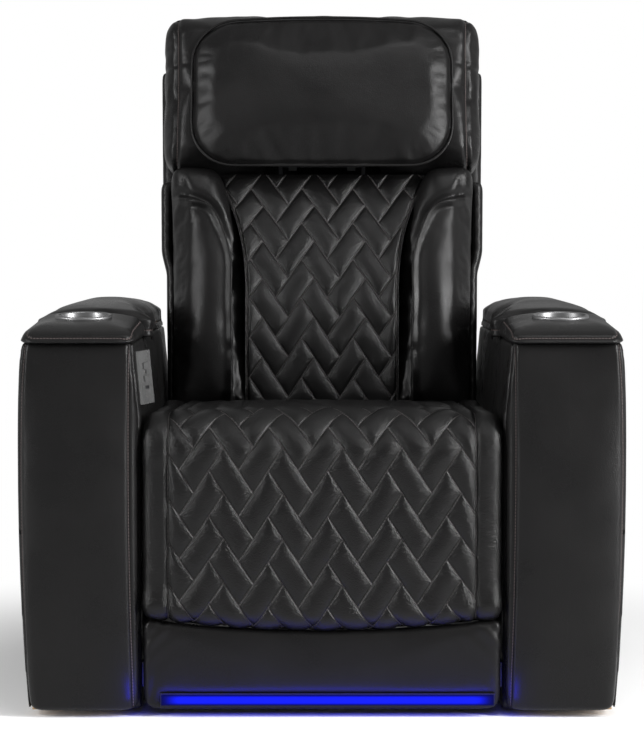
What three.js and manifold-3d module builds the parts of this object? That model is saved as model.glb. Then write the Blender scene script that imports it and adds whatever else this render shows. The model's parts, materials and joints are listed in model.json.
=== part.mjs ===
// A single cinema recliner seat: a quilted seat, leg rest and back between two storage arms.
// Millimetres. X runs to the right as seen from the front, Y runs to the rear and Z runs up.
// The front faces of the arms lie at Y = 0 until the last lines centre the seat over the origin.
import * as THREE from 'three';
import { mergeVertices } from 'three/addons/utils/BufferGeometryUtils.js';
import Module from 'manifold-3d';

const wasm = await Module();
wasm.setup();

// Overall stance
const gapWidth = 528;
const armWidth = 181;
const seatLength = 552;
const armBehindSeat = 248;
const armLength = seatLength + armBehindSeat;
const armTop = 545;
const glideHeight = 9;
const fit = 0.3;
const slack = 0.6;
const overrun = 2;
const mergeStep = 0.0005;

// Arm panels
const armFlare = 10;
const armFlareFrom = 440;
const armWaistTuck = 15;
const armShoulderTuck = 7;
const armWaistHeight = 330;
const frontPanelThick = 24;
const sidePanelThick = 21;
const rearPanelThick = 20;
const floorThick = 18;
const panelCorner = 16;
const panelCrown = 5;
const panelRoll = 9;
const panelTuck = 3;
const rollShare = 0.29;
const domeShares = [0.68, 0.34];

// Cup deck, cup and storage box of an arm
const deckLength = 232;
const deckLip = 5;
const deckThick = 27;
const deckCrown = 12;
const deckCorner = 24;
const deckRoll = 15;
const cupBore = 80;
const cupWall = 1.5;
const cupDepth = 78;
const cupRimWidth = 5;
const cupRimProud = 8;
const cupSetBack = 112;
const tubLength = 300;
const tubWall = 3;
const tubDepth = 190;
const tubFlange = 7;
const tubSetBack = 262;
const lidGap = 6;
const lidBoardThick = 9;
const lidThick = 43;
const lidLift = 1.5;
const lidCrown = 11;
const lidBulge = 20;
const lidBulgeLength = 190;
const lidRoll = 16;
const lidHingeRadius = 3.5;
const lidHingeLength = 320;
const lidLeafWidth = 10;
const lidLeafThick = 2;

// Glides under the arm floors
const glideRadius = 22;
const glideTaper = 4;
const glideInset = 90;

// Seat and leg rest
const seatTop = 448;
const seatRearDrop = 20;
const seatBase = 340;
const seatFront = 6;
const noseRadius = 75;
const hingeDepth = 7;
const noseGap = 8;
const padSideGap = 3;
const padThick = 65;
const padFoot = 130;
const padFootRadius = 26;
const padFootBow = 18;
const sideDrop = 8;
const seatCrown = 6;

// Herringbone tufts: each tuft is two steps long and one step wide, and a step goes this far
// across and this far down. The places are those of one zigzag's peak
const tuftReach = 21.6;
const tuftRise = 33.5;
const seatTuftPlace = 30;
const seatTuftHeight = 327;
const backTuftPlace = -13;
const backTuftHeight = 211;
const tuftPuff = 7;
const tuftFade = 34;
const seatBorder = 38;
const seatQuiltWidth = gapWidth - seatBorder * 2;

// Kickboard with its light strip
const kickTop = 126;
const kickFoot = 10;
const kickThick = 34;
const kickBow = 16;
const kickCorner = 22;
const kickSet = 10;
const lightInsetLeft = 30;
const lightInsetRight = 14;
const lightHeight = 16;
const lightFoot = 18;
const lightDepth = 9;
const channelWall = 1.6;
const channelFloor = 3;

// Base frame
const railSize = 36;
const railFoot = 40;
const railWall = 3;
const plateThick = 4;
const plateInset = 17;
const plateFront = 96;
const plateRearInset = 80;
const plateRear = armLength - plateRearInset;
const plateFoot = 62;
const plateTop = 306;
const plateCorner = 20;
const windowWidth = 78;
const windowHeight = 86;
const windowShares = [0.2, 0.38, 0.56, 0.74];
const driveTube = 28;
const studRadius = 10;
const studReach = 26;
const earRadius = 26;

// Seat frame
const frameTube = 30;
const frameFront = 124;
const frameBehindSeat = 68;
const frameRear = seatLength + frameBehindSeat;
const strapWidth = 50;
const strapThick = 3;
const lengthwiseStraps = 4;
const crosswiseStraps = 5;

// Leg-rest hinge, board and lever
const knuckleRadius = 4;
const knuckleCount = 7;
const leafThick = 2;
const leafInset = 49;
const leafWidth = gapWidth - leafInset * 2;
const leafFoot = 26;
const boardThick = 12;
const boardInset = 29;
const boardWidth = gapWidth - boardInset * 2;
const boardTop = 352;
const boardFoot = 156;
const leverThick = 6;
const leverPlace = -90;
const leverReach = 170;
const leverRestAngle = 306;
const legrestSwing = 85;
const leverRoot = 60;
const leverWidth = 24;
const crossTubeShare = 0.8;
const pinRadius = 5;
const pinLength = 26;

// Back
const rake = 14;
const pivotBehindSeat = 111;
const pivotSetBack = seatLength + pivotBehindSeat;
const pivotHeight = 338;
const backRecline = 35;
const backGap = 4;
const backFlare = 13;
const backHalfFoot = gapWidth / 2 - backGap;
const backHalfTop = backHalfFoot + backFlare;
const backFoot = -6;
const headFoot = 471;
const headHeight = 277;
const headTop = headFoot + headHeight;
const shellDrop = 63;
const shellTop = headTop - shellDrop;
const shellRear = 110;
const shellRoll = 26;
const shellBevel = 12;
const cushionPlane = -20;
const insertFront = -84;
const insertFootTuck = 12;
const insertBelly = 12;
const insertBellyHeight = 235;
const insertShoulderDrop = 119;
const insertShoulderHeight = headFoot - insertShoulderDrop;
const insertTopTuck = 42;
const insertFoot = 60;
const bolsterFootWidth = 134;
const bolsterTopWidth = 94;
const insertHalfFoot = backHalfFoot - bolsterFootWidth;
const insertHalfTop = backHalfTop - bolsterTopWidth;
const insertTaperLength = 221;
const insertTaperFrom = headFoot - insertTaperLength;
const insertTaperBend = 2.3;
const taperShares = [0.75, 0.5, 0.25];
const insertCrown = 10;
const bolsterFront = -104;
const bolsterCrown = 14;
const bolsterRoll = 34;
const bolsterGap = 3;
const shellWall = 10;
const tubeRadius = 11;
const backFrameInset = 24;
const backFrameHalf = backHalfFoot - backFrameInset;
const backFrameDrop = 36;
const backFrameTop = headFoot - backFrameDrop;
const strapShares = [0.17, 0.33, 0.59, 0.75, 0.91];
const eyeRadius = 20;
const eyeThick = 6;
const eyeLengthShare = 0.9;
const kneeShare = 1.02;
const lowCrossTubeShare = 1.6;
const backLeverPlace = 90;
const backLeverReach = 90;

// Headrest
const headFront = -108;
const headRear = 36;
const headRoll = 30;
const headHingeY = -66;
const headHingeRise = 20;
const headHingeZ = headFoot + headHingeRise;
const headGap = 4;
const headSlotHalf = 100;
const headSlotFront = -92;
const headSlotDepth = 44;
const headSlotTop = headFoot + headSlotDepth;
const headMotorRadius = 13;
const headMotorHalf = 74;
const headArmThick = 6;
const headArmWidth = 18;
const headEyePlace = 50;
const headEyeThick = 14;
const headEyeWall = 5;
const pillowInset = 51.5;
const pillowWidth = (backHalfTop - pillowInset) * 2;
const pillowUnderFoot = 4;
const pillowFoot = headFoot - pillowUnderFoot;
const pillowUnderTop = 25;
const pillowTop = headTop - pillowUnderTop;
const pillowThick = 16;
const pillowCrown = 14;
const pillowCorner = 78;
const pillowRoll = 13;
const headCrown = 8;
const headStepShare = 0.67;

// Drives
const rodRadius = 9;
const barrelRadius = 17;
const rodLength = 290;
const barrelLength = 300;
const backRodLength = 290;
const backBarrelLength = 324;
const yokeThick = 8;
const yokeWall = 6;
const yokeNeck = 26;
const motorWidth = 64;
const motorLength = 74;
const motorHeight = 78;
const motorCorner = 12;
const motorDropShare = 0.6;
const canShare = 0.34;
const canInsetShare = 0.6;
const slotCornerShare = 0.8;

// Control panel on the left arm
const panelHeight = 78;
const panelWidth = 36;
const panelTurn = 22;
const panelThin = 4;
const panelSetBack = 66;
const panelMiddle = 493;
const buttonWidth = 19;
const buttonHeight = 9;
const buttonProud = 2.4;
const buttonDepth = 4.2;
const buttonTravel = 1.5;
const buttonGap = 0.4;
const homeRadius = 2.6;
const portWidth = 13;
const portHeight = 5.4;
const portDepth = 3;
const tongueLongShare = 0.7;
const tongueTallShare = 0.4;
const openPlace = 17;
const homePlace = 7.4;
const closePlace = -2.2;
const portPlace = -15;

const degree = Math.PI / 180;

// Finishes
function finish(color, roughness, metalness) {
  return () => new THREE.MeshStandardMaterial({ color, roughness, metalness });
}
const leather = finish(0x242223, 0.42, 0);
const quilted = finish(0x1d1c1d, 0.36, 0);
const steel = finish(0xb9bcc0, 0.3, 1);
const paint = finish(0x1a1b1d, 0.55, 0.4);
const zinc = finish(0x9a9da1, 0.4, 1);
const plastic = finish(0x17181a, 0.5, 0);
const board = finish(0xb48a5a, 0.8, 0);
const satin = finish(0xa9abad, 0.35, 0.9);
const glow = () => new THREE.MeshStandardMaterial({ color: 0x1028e6, emissive: 0x1028e6, roughness: 0.4 });

// The scene: the base stands still, and the back leans with its own group
const seat = new THREE.Group();
const back = new THREE.Group();
back.position.set(0, pivotSetBack, pivotHeight);
back.rotation.x = -rake * degree;
seat.add(back);

function add(parent, name, geometry, finishOf) {
  const mesh = new THREE.Mesh(geometry, finishOf());
  mesh.name = name;
  parent.add(mesh);
  return mesh;
}

// Solids: a closed mesh with shared corners, which can be joined and cut
function shared(geometry) {
  const plain = geometry.clone();
  plain.deleteAttribute('normal');
  plain.deleteAttribute('uv');
  return mergeVertices(plain, mergeStep);
}

function solidOf(geometry) {
  const plain = shared(geometry);
  const corners = plain.getIndex().array;
  const vertProperties = new Float32Array(plain.getAttribute('position').array);
  const triVerts = new Uint32Array(corners);
  return new wasm.Manifold(new wasm.Mesh({ numProp: 3, vertProperties, triVerts }));
}

function geometryOf(solid) {
  const mesh = solid.getMesh();
  const geometry = new THREE.BufferGeometry();
  geometry.setAttribute('position', new THREE.BufferAttribute(mesh.vertProperties, 3));
  geometry.setIndex(new THREE.BufferAttribute(mesh.triVerts, 1));
  geometry.computeVertexNormals();
  return geometry;
}

function join(...parts) {
  return geometryOf(parts.map(solidOf).reduce((whole, next) => whole.add(next)));
}

function cut(body, ...tools) {
  return geometryOf(tools.map(solidOf).reduce((whole, next) => whole.subtract(next), solidOf(body)));
}

function volumeOf(positions, triangles) {
  let volume = 0;
  const [a, b, c] = [new THREE.Vector3(), new THREE.Vector3(), new THREE.Vector3()];
  for (const [i, j, k] of triangles) {
    a.copy(positions[i]);
    b.copy(positions[j]);
    c.copy(positions[k]);
    volume += a.dot(b.cross(c));
  }
  return volume;
}

function meshFrom(positions, triangles) {
  const outward = volumeOf(positions, triangles) > 0;
  const geometry = new THREE.BufferGeometry();
  geometry.setFromPoints(positions);
  geometry.setIndex(triangles.flatMap(([i, j, k]) => (outward ? [i, j, k] : [i, k, j])));
  geometry.computeVertexNormals();
  return geometry;
}

function mirrored(geometry) {
  const flipped = shared(geometry);
  flipped.scale(-1, 1, 1);
  const corners = flipped.getIndex().array;
  for (let i = 0; i < corners.length; i += 3) {
    [corners[i + 1], corners[i + 2]] = [corners[i + 2], corners[i + 1]];
  }
  flipped.computeVertexNormals();
  return flipped;
}

function addPair(parent, name, geometry, finishOf) {
  add(parent, `${name}_right`, geometry, finishOf);
  add(parent, `${name}_left`, mirrored(geometry), finishOf);
}

// A block between two corners
function block(x0, x1, y0, y1, z0, z1) {
  const geometry = new THREE.BoxGeometry(x1 - x0, y1 - y0, z1 - z0);
  geometry.translate((x0 + x1) / 2, (y0 + y1) / 2, (z0 + z1) / 2);
  return geometry;
}

// A drum along X, centred on a point of the YZ plane
function drumAlongX(radius, x0, x1, y, z, sides = 20) {
  const geometry = new THREE.CylinderGeometry(radius, radius, x1 - x0, sides);
  geometry.rotateZ(Math.PI / 2);
  geometry.translate((x0 + x1) / 2, y, z);
  return geometry;
}

// A plate drawn in the YZ plane and as thick as x1 - x0
function plateAcrossX(outline, x0, x1, curveSteps = 5) {
  const shape = outline instanceof THREE.Shape ? outline : new THREE.Shape(outline);
  const settings = { depth: x1 - x0, bevelEnabled: false, curveSegments: curveSteps };
  const geometry = new THREE.ExtrudeGeometry(shape, settings);
  geometry.applyMatrix4(new THREE.Matrix4().set(0, 0, 1, x0, 1, 0, 0, 0, 0, 1, 0, 0, 0, 0, 0, 1));
  return geometry;
}

function roundedOutline(x0, x1, y0, y1, corner) {
  const shape = new THREE.Shape();
  shape.moveTo(x0 + corner, y0);
  shape.lineTo(x1 - corner, y0);
  shape.absarc(x1 - corner, y0 + corner, corner, -Math.PI / 2, 0);
  shape.lineTo(x1, y1 - corner);
  shape.absarc(x1 - corner, y1 - corner, corner, 0, Math.PI / 2);
  shape.lineTo(x0 + corner, y1);
  shape.absarc(x0 + corner, y1 - corner, corner, Math.PI / 2, Math.PI);
  shape.lineTo(x0, y0 + corner);
  shape.absarc(x0 + corner, y0 + corner, corner, Math.PI, Math.PI * 1.5);
  return shape;
}

// The points of an outline, with long straight runs divided so that a dome can follow them
function outlinePoints(shape, longest, curveSteps) {
  const points = [];
  const corners = shape.getPoints(curveSteps);
  corners.forEach((point, i) => {
    const next = corners[(i + 1) % corners.length];
    const run = point.distanceTo(next);
    const pieces = Math.max(1, Math.round(run / longest));
    for (let k = 0; k < pieces && run > mergeStep; k += 1) {
      points.push(point.clone().lerp(next, k / pieces));
    }
  });
  return points;
}

function inset(points, distance) {
  const sign = THREE.ShapeUtils.isClockWise(points) ? -1 : 1;
  return points.map((point, i) => {
    const before = points[(i + points.length - 1) % points.length];
    const after = points[(i + 1) % points.length];
    const along = after.clone().sub(before).normalize();
    return new THREE.Vector2(point.x - along.y * distance * sign, point.y + along.x * distance * sign);
  });
}

// A padded panel: flat behind, drawn in at its rim, rolled over its edge and crowned in front.
// place(u, v, w) says where a point lies, with w the height above the flat back.
function paddedPanel(points, form, place) {
  const { thick, roll, tuck, crown } = form;
  const rings = [
    [inset(points, tuck), 0],
    [points, (thick - roll) / 2],
    [points, thick - roll],
    [inset(points, roll * rollShare), thick - roll * rollShare],
    [inset(points, roll), thick],
  ];
  const rim = rings[rings.length - 1][0];
  const centre = rim.reduce((sum, p) => sum.add(p), new THREE.Vector2()).divideScalar(rim.length);
  for (const share of domeShares) {
    rings.push([rim.map((p) => centre.clone().lerp(p, share)), thick + crown * (1 - share * share)]);
  }
  const positions = rings.flatMap(([ring, height]) => ring.map((p) => place(p.x, p.y, height)));
  positions.push(place(centre.x, centre.y, thick + crown));
  const triangles = [];
  const count = points.length;
  for (let r = 0; r + 1 < rings.length; r += 1) {
    for (let i = 0; i < count; i += 1) {
      const j = (i + 1) % count;
      triangles.push([r * count + i, r * count + j, (r + 1) * count + j]);
      triangles.push([r * count + i, (r + 1) * count + j, (r + 1) * count + i]);
    }
  }
  const last = (rings.length - 1) * count;
  for (let i = 0; i < count; i += 1) {
    triangles.push([last + i, last + ((i + 1) % count), positions.length - 1]);
  }
  for (const [i, j, k] of THREE.ShapeUtils.triangulateShape(rings[0][0], [])) {
    triangles.push([i, k, j]);
  }
  if (THREE.ShapeUtils.isClockWise(points)) {
    triangles.splice(triangles.length - (count - 2), count - 2,
      ...triangles.slice(triangles.length - (count - 2)).map(([i, j, k]) => [i, k, j]));
  }
  return meshFrom(positions, triangles);
}

// Herringbone net over a strip: lattice points, held inside the strip's edges, and its triangles.
// Each tuft covers two cells, and only a line between two tufts is sewn down.
function herringboneNet(length, halfWidthAt, peak) {
  const columns = Math.ceil(gapWidth / tuftReach);
  const rows = Math.ceil((length + Math.abs(peak.y)) / tuftRise) + columns;
  const indexOf = new Map();
  const points = [];
  const triangles = [];
  const pointAt = (i, j, raised) => {
    const across = peak.x + (i - j) * tuftReach;
    const along = peak.y + (i + j) * tuftRise;
    const t = THREE.MathUtils.clamp(along, 0, length);
    const half = halfWidthAt(t);
    const x = THREE.MathUtils.clamp(across, -half, half);
    const key = `${x.toFixed(3)} ${t.toFixed(3)}`;
    if (!indexOf.has(key)) {
      indexOf.set(key, points.length);
      points.push({ x, t, raised });
    }
    return indexOf.get(key);
  };
  const addTriangle = (a, b, c) => {
    const [p, q, r] = [points[a], points[b], points[c]];
    const doubleArea = (q.x - p.x) * (r.t - p.t) - (r.x - p.x) * (q.t - p.t);
    if (Math.abs(doubleArea) > mergeStep) triangles.push([a, b, c]);
  };
  const addTuft = (i, j, alongI) => {
    const [di, dj] = alongI ? [1, 0] : [0, 1];
    const [si, sj] = alongI ? [0, 1] : [1, 0];
    const corner = (a, b) => pointAt(i + di * a + si * b, j + dj * a + sj * b, false);
    const middle = (a) => pointAt(i + di * a + si / 2, j + dj * a + sj / 2, true);
    const ring = [corner(0, 0), corner(1, 0), corner(2, 0), corner(2, 1), corner(1, 1), corner(0, 1)];
    const [first, second] = [middle(0.5), middle(1.5)];
    const facing = alongI ? (a, b, c) => addTriangle(a, b, c) : (a, b, c) => addTriangle(a, c, b);
    facing(first, ring[5], ring[0]);
    facing(first, ring[0], ring[1]);
    facing(first, ring[4], ring[5]);
    facing(second, ring[1], ring[2]);
    facing(second, ring[2], ring[3]);
    facing(second, ring[3], ring[4]);
    facing(first, ring[1], second);
    facing(first, second, ring[4]);
  };
  for (let i = -rows; i <= rows; i += 1) {
    for (let j = -rows; j <= rows; j += 1) {
      const turn = THREE.MathUtils.euclideanModulo(i - j, 4);
      if (turn === 0) addTuft(i, j, true);
      if (turn === 3) addTuft(i, j, false);
    }
  }
  return { points, triangles };
}

// The edge of a net, as one loop of point numbers
function rimOf(triangles) {
  const next = new Map();
  const seen = new Set(triangles.flatMap(([a, b, c]) => [`${a} ${b}`, `${b} ${c}`, `${c} ${a}`]));
  for (const [a, b, c] of triangles) {
    for (const [from, to] of [[a, b], [b, c], [c, a]]) {
      if (!seen.has(`${to} ${from}`)) next.set(from, to);
    }
  }
  const start = next.keys().next().value;
  const loop = [start];
  for (let at = next.get(start); at !== start; at = next.get(at)) loop.push(at);
  return loop;
}

// A quilted pad: its sewn face follows a line in the YZ plane, and its back is flat.
// The tufts fade out towards the pad's plain borders, and its sides are drawn in.
function quiltedPad({ faceLine, backAt, halfWidthAt, quiltHalfAt, crown, bow, peak }) {
  const length = faceLine.getLength();
  const net = herringboneNet(length, halfWidthAt, peak);
  const smooth = (share) => THREE.MathUtils.smoothstep(share, 0, 1);
  const toBack = backAt(0.5).sub(faceLine.getPointAt(0.5));
  const onRight = faceLine.getTangentAt(0.5).cross(toBack) > 0 ? -1 : 1;
  const faceAt = ({ x, t, raised }) => {
    const share = THREE.MathUtils.clamp(t / length, 0, 1);
    const [y, z] = faceLine.getPointAt(share).toArray();
    const along = faceLine.getTangentAt(share);
    const across = Math.abs(x) / halfWidthAt(t);
    const quiltEdge = smooth((quiltHalfAt(t) - Math.abs(x)) / tuftFade);
    const quiltEnd = smooth(t / tuftFade) * smooth((length - t) / tuftFade);
    const puff = (raised ? 1 : 0) * tuftPuff * quiltEdge * quiltEnd;
    const ends = smooth(t / noseRadius) * smooth((length - t) / noseRadius);
    const dome = crown * (1 - across * across) * ends - sideDrop * across ** 6 * ends;
    const lift = puff + dome - crown * ends;
    const raise = bow * across * across * share * share;
    const outward = lift * onRight;
    return new THREE.Vector3(x, y - along.y * outward, z + along.x * outward + raise);
  };
  const rim = rimOf(net.triangles);
  const used = new Map();
  const positions = [];
  const renumber = (n) => {
    if (!used.has(n)) {
      used.set(n, positions.length);
      positions.push(faceAt(net.points[n]));
    }
    return used.get(n);
  };
  const triangles = net.triangles.map((triangle) => triangle.map(renumber));
  const backPoints = rim.map((n) => {
    const { x, t } = net.points[n];
    const at = backAt(t / length);
    const raise = bow * (x / halfWidthAt(t)) ** 2 * (t / length) ** 2;
    return new THREE.Vector3(x, at.x, at.y + raise);
  });
  const firstBack = positions.length;
  positions.push(...backPoints);
  rim.forEach((n, i) => {
    const j = (i + 1) % rim.length;
    const [a, b] = [used.get(n), used.get(rim[j])];
    triangles.push([b, a, firstBack + i], [b, firstBack + i, firstBack + j]);
  });
  const flat = rim.map((n) => new THREE.Vector2(net.points[n].x, net.points[n].t));
  const clockwise = THREE.ShapeUtils.isClockWise(flat);
  for (const [i, j, k] of THREE.ShapeUtils.triangulateShape(flat, [])) {
    const turned = clockwise ? [i, j, k] : [k, j, i];
    triangles.push(turned.map((n) => firstBack + n));
  }
  return meshFrom(positions, triangles);
}

// Sizes shared by the pieces of an arm, for the right-hand arm
const armInner = gapWidth / 2;
const armOuter = armInner + armWidth;
const deckTop = armTop + fit + deckThick + deckCrown;
const innerPanelOuter = armInner + armFlare + sidePanelThick;
const outerPanelInner = armOuter - sidePanelThick;
const panelRearY = armLength - rearPanelThick;

function armFrontOutline() {
  const shape = new THREE.Shape();
  const inner = armInner + panelTuck;
  const outer = armOuter - panelTuck;
  const foot = glideHeight;
  shape.moveTo(inner + panelCorner, foot);
  shape.lineTo(outer - armWaistTuck - panelCorner, foot);
  shape.quadraticCurveTo(outer - armWaistTuck, foot, outer - armWaistTuck, foot + panelCorner);
  shape.quadraticCurveTo(outer, armWaistHeight / 2, outer, armWaistHeight);
  shape.quadraticCurveTo(outer, armTop - panelCorner, outer - armShoulderTuck, armTop);
  shape.lineTo(inner + armFlare, armTop);
  shape.lineTo(inner, armFlareFrom);
  shape.lineTo(inner, foot + panelCorner);
  shape.quadraticCurveTo(inner, foot, inner + panelCorner, foot);
  return shape;
}

function makeArmPanels() {
  const form = { thick: frontPanelThick, roll: panelRoll, tuck: 0, crown: panelCrown };
  const facingFront = (u, v, w) => new THREE.Vector3(u, frontPanelThick + panelCrown - w, v);
  const front = paddedPanel(outlinePoints(armFrontOutline(), armTop / 3, 3), form, facingFront);
  addPair(seat, 'arm_front', front, leather);

  const y0 = frontPanelThick + panelCrown + fit;
  const outerShape = new THREE.Shape();
  outerShape.moveTo(outerPanelInner, glideHeight);
  outerShape.lineTo(armOuter - armWaistTuck, glideHeight);
  outerShape.quadraticCurveTo(armOuter, armWaistHeight / 2, armOuter, armWaistHeight);
  outerShape.quadraticCurveTo(armOuter, armTop - panelCorner, armOuter - armShoulderTuck, armTop);
  outerShape.lineTo(outerPanelInner, armTop);
  const outer = panelAlongY(outerShape, y0, armLength);
  addPair(seat, 'arm_outer', outer, leather);

  const innerShape = new THREE.Shape();
  innerShape.moveTo(armInner, glideHeight);
  innerShape.lineTo(innerPanelOuter, glideHeight);
  innerShape.lineTo(innerPanelOuter, armTop);
  innerShape.lineTo(armInner + armFlare, armTop);
  innerShape.lineTo(armInner, armFlareFrom);
  const inner = panelAlongY(innerShape, y0, armLength);
  addPair(seat, 'arm_inner', inner, leather);

  const x0 = innerPanelOuter + fit;
  const x1 = outerPanelInner - fit;
  const rear = block(x0, x1, panelRearY, armLength - panelTuck, glideHeight, armTop);
  addPair(seat, 'arm_rear', rear, leather);
  const floor = block(x0, x1, y0, panelRearY - fit, glideHeight, glideHeight + floorThick);
  addPair(seat, 'arm_floor', floor, board);
}

function panelAlongY(shape, y0, y1) {
  const settings = { depth: y1 - y0, bevelEnabled: false, curveSegments: 5 };
  const geometry = new THREE.ExtrudeGeometry(shape, settings);
  geometry.rotateX(Math.PI / 2);
  geometry.translate(0, y1, 0);
  return geometry;
}

function makeCupDeck() {
  const form = { thick: deckThick, roll: deckRoll, tuck: deckLip, crown: deckCrown };
  const outline = roundedOutline(armInner + armFlare / 2, armOuter, -deckLip, deckLength, deckCorner);
  const facingUp = (u, v, w) => new THREE.Vector3(u, v, armTop + fit + w);
  const pad = paddedPanel(outlinePoints(outline, armWidth / 2, 4), form, facingUp);
  const cupX = (armInner + armOuter + armFlare / 2) / 2;
  const hole = new THREE.CylinderGeometry(1, 1, deckTop, 28);
  const holeRadius = cupBore / 2 + cupWall + fit;
  hole.scale(holeRadius, 1, holeRadius);
  hole.rotateX(Math.PI / 2);
  hole.translate(cupX, cupSetBack, deckTop);
  addPair(seat, 'cup_deck', cut(pad, hole), leather);

  const rimTop = deckTop + cupRimProud;
  const inside = cupBore / 2;
  const outside = inside + cupWall;
  const rim = outside + cupRimWidth;
  const profile = [
    [0, -cupDepth], [outside, -cupDepth], [outside, -cupRimProud + fit],
    [rim, -cupRimProud + fit], [rim, -cupWall], [rim - cupWall, 0], [inside + cupWall, 0],
    [inside, -cupWall], [inside, cupWall - cupDepth], [0, cupWall - cupDepth],
  ].map(([r, h]) => new THREE.Vector2(r, h));
  const cup = new THREE.LatheGeometry(profile, 28);
  cup.rotateX(Math.PI / 2);
  cup.translate(cupX, cupSetBack, rimTop);
  addPair(seat, 'cup', cup, steel);
}

function makeStorage() {
  const x0 = innerPanelOuter + slack;
  const x1 = outerPanelInner - slack;
  const y0 = tubSetBack;
  const y1 = tubSetBack + tubLength;
  const top = armTop + fit + tubWall;
  const shell = block(x0, x1, y0, y1, armTop - tubDepth, top);
  const flange = block(x0 - tubFlange, x1 + tubFlange, y0 - tubFlange, y1 + tubFlange, armTop + fit, top);
  const hollow = block(x0 + tubWall, x1 - tubWall, y0 + tubWall, y1 - tubWall,
    armTop - tubDepth + tubWall, top + overrun);
  addPair(seat, 'storage_tub', cut(join(shell, flange), hollow), plastic);

  const lidFoot = top + fit;
  const hingeX = armOuter - lidHingeRadius;
  const hingeZ = armTop + fit + lidHingeRadius;
  const lidFront = deckLength + lidGap;
  const lidRear = armLength;
  const lidX0 = armInner + armFlare + panelTuck;
  const bodyX1 = armOuter - armShoulderTuck;
  const boardBody = block(lidX0 + panelTuck, bodyX1, lidFront + lidRoll, lidRear - lidRoll,
    lidFoot, lidFoot + lidBoardThick);
  const middle = (lidFront + lidRear) / 2;
  const hingeY0 = middle - lidHingeLength / 2;
  const hingeY1 = middle + lidHingeLength / 2;
  const grooveRadius = lidHingeRadius + slack;
  const groove = drumAlongY(grooveRadius, hingeX, hingeY0 - slack, hingeY1 + slack, hingeZ);
  const clear = block(hingeX - grooveRadius, armOuter + overrun, hingeY0 - slack, hingeY1 + slack,
    armTop, lidFoot + grooveRadius);
  addPair(seat, 'lid_board', cut(boardBody, groove, clear), board);

  const rod = drumAlongY(lidHingeRadius, hingeX, hingeY0, hingeY1, hingeZ);
  const leafFoot = armTop + fit;
  const leaf = block(hingeX - lidLeafWidth, hingeX, hingeY0, hingeY1, leafFoot, leafFoot + lidLeafThick);
  addPair(seat, 'lid_hinge', join(rod, leaf), zinc);

  const shape = new THREE.Shape();
  const bulgeEnd = lidFront + lidBulgeLength;
  shape.moveTo(lidX0 - lidBulge + lidRoll, lidFront);
  shape.lineTo(armOuter - lidRoll, lidFront);
  shape.quadraticCurveTo(armOuter, lidFront, armOuter, lidFront + lidRoll);
  shape.lineTo(armOuter, lidRear - lidRoll);
  shape.quadraticCurveTo(armOuter, lidRear, armOuter - lidRoll, lidRear);
  shape.lineTo(lidX0 + lidRoll, lidRear);
  shape.quadraticCurveTo(lidX0, lidRear, lidX0, lidRear - lidRoll);
  shape.lineTo(lidX0, bulgeEnd);
  shape.quadraticCurveTo(lidX0 - lidBulge, (bulgeEnd + lidFront) / 2, lidX0 - lidBulge, lidFront + lidRoll);
  shape.quadraticCurveTo(lidX0 - lidBulge, lidFront, lidX0 - lidBulge + lidRoll, lidFront);
  const form = { thick: lidThick, roll: lidRoll, tuck: armShoulderTuck, crown: lidCrown };
  const padFoot = armTop + lidLift;
  const facingUp = (u, v, w) => new THREE.Vector3(u, v, padFoot + w);
  const pad = paddedPanel(outlinePoints(shape, armWidth, 3), form, facingUp);
  const boardPocket = block(lidX0 + panelTuck - fit, bodyX1 + fit, lidFront + lidRoll - fit,
    lidRear - lidRoll + fit, armTop, lidFoot + lidBoardThick + fit);
  const hingePocket = block(hingeX - lidLeafWidth, armOuter + overrun, hingeY0 - slack, hingeY1 + slack,
    armTop, hingeZ + grooveRadius);
  addPair(seat, 'lid_pad', cut(pad, boardPocket, hingePocket), leather);
}

function drumAlongY(radius, x, y0, y1, z, sides = 14) {
  const geometry = new THREE.CylinderGeometry(radius, radius, y1 - y0, sides);
  geometry.translate(x, (y0 + y1) / 2, z);
  return geometry;
}

function makeGlides() {
  const x = (innerPanelOuter + outerPanelInner) / 2;
  const profile = [[0, 0], [glideRadius - glideTaper, 0], [glideRadius, glideHeight - fit],
    [0, glideHeight - fit]].map(([r, h]) => new THREE.Vector2(r, h));
  const glide = new THREE.LatheGeometry(profile, 20);
  glide.rotateX(Math.PI / 2);
  for (const [name, y] of [['front', glideInset], ['rear', armLength - glideInset]]) {
    const placed = glide.clone();
    placed.translate(x, y, 0);
    addPair(seat, `glide_${name}`, placed, plastic);
  }
}

// Centre of the rounded nose, and the leg rest's hinge line just under its skin
const noseY = seatFront + noseRadius;
const noseZ = seatTop - noseRadius;
const hingeReach = (noseRadius - hingeDepth) * Math.SQRT1_2;
const hingeY = noseY - hingeReach;
const hingeZ = noseZ + hingeReach;
const padHalf = gapWidth / 2 - padSideGap;
// How far round the nose the gap beside the hinge reaches
const noseTurn = Math.asin(noseGap / noseRadius);

const peakBelowHinge = noseRadius * (Math.PI / 4 - noseTurn) + noseZ - seatTuftHeight;

function makeSeatCushion() {
  const face = new THREE.Path();
  face.moveTo(seatLength, seatTop - seatRearDrop);
  face.lineTo((seatLength + noseY) / 2, seatTop - seatRearDrop / 3);
  face.lineTo(noseY, seatTop);
  face.absarc(noseY, noseZ, noseRadius, Math.PI / 2, Math.PI * 0.75 - noseTurn, false);
  const end = face.getPointAt(1);
  const backStart = new THREE.Vector2(seatLength, seatBase);
  const backEnd = new THREE.Vector2(end.x + end.y - seatBase, seatBase);
  const geometry = quiltedPad({
    faceLine: face,
    backAt: (share) => backStart.clone().lerp(backEnd, share),
    halfWidthAt: () => padHalf,
    quiltHalfAt: () => seatQuiltWidth / 2,
    crown: seatCrown,
    bow: 0,
    peak: new THREE.Vector2(seatTuftPlace, face.getLength() + noseTurn * noseRadius * 2 + peakBelowHinge),
  });
  add(seat, 'seat_cushion', geometry, quilted);
}

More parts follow.
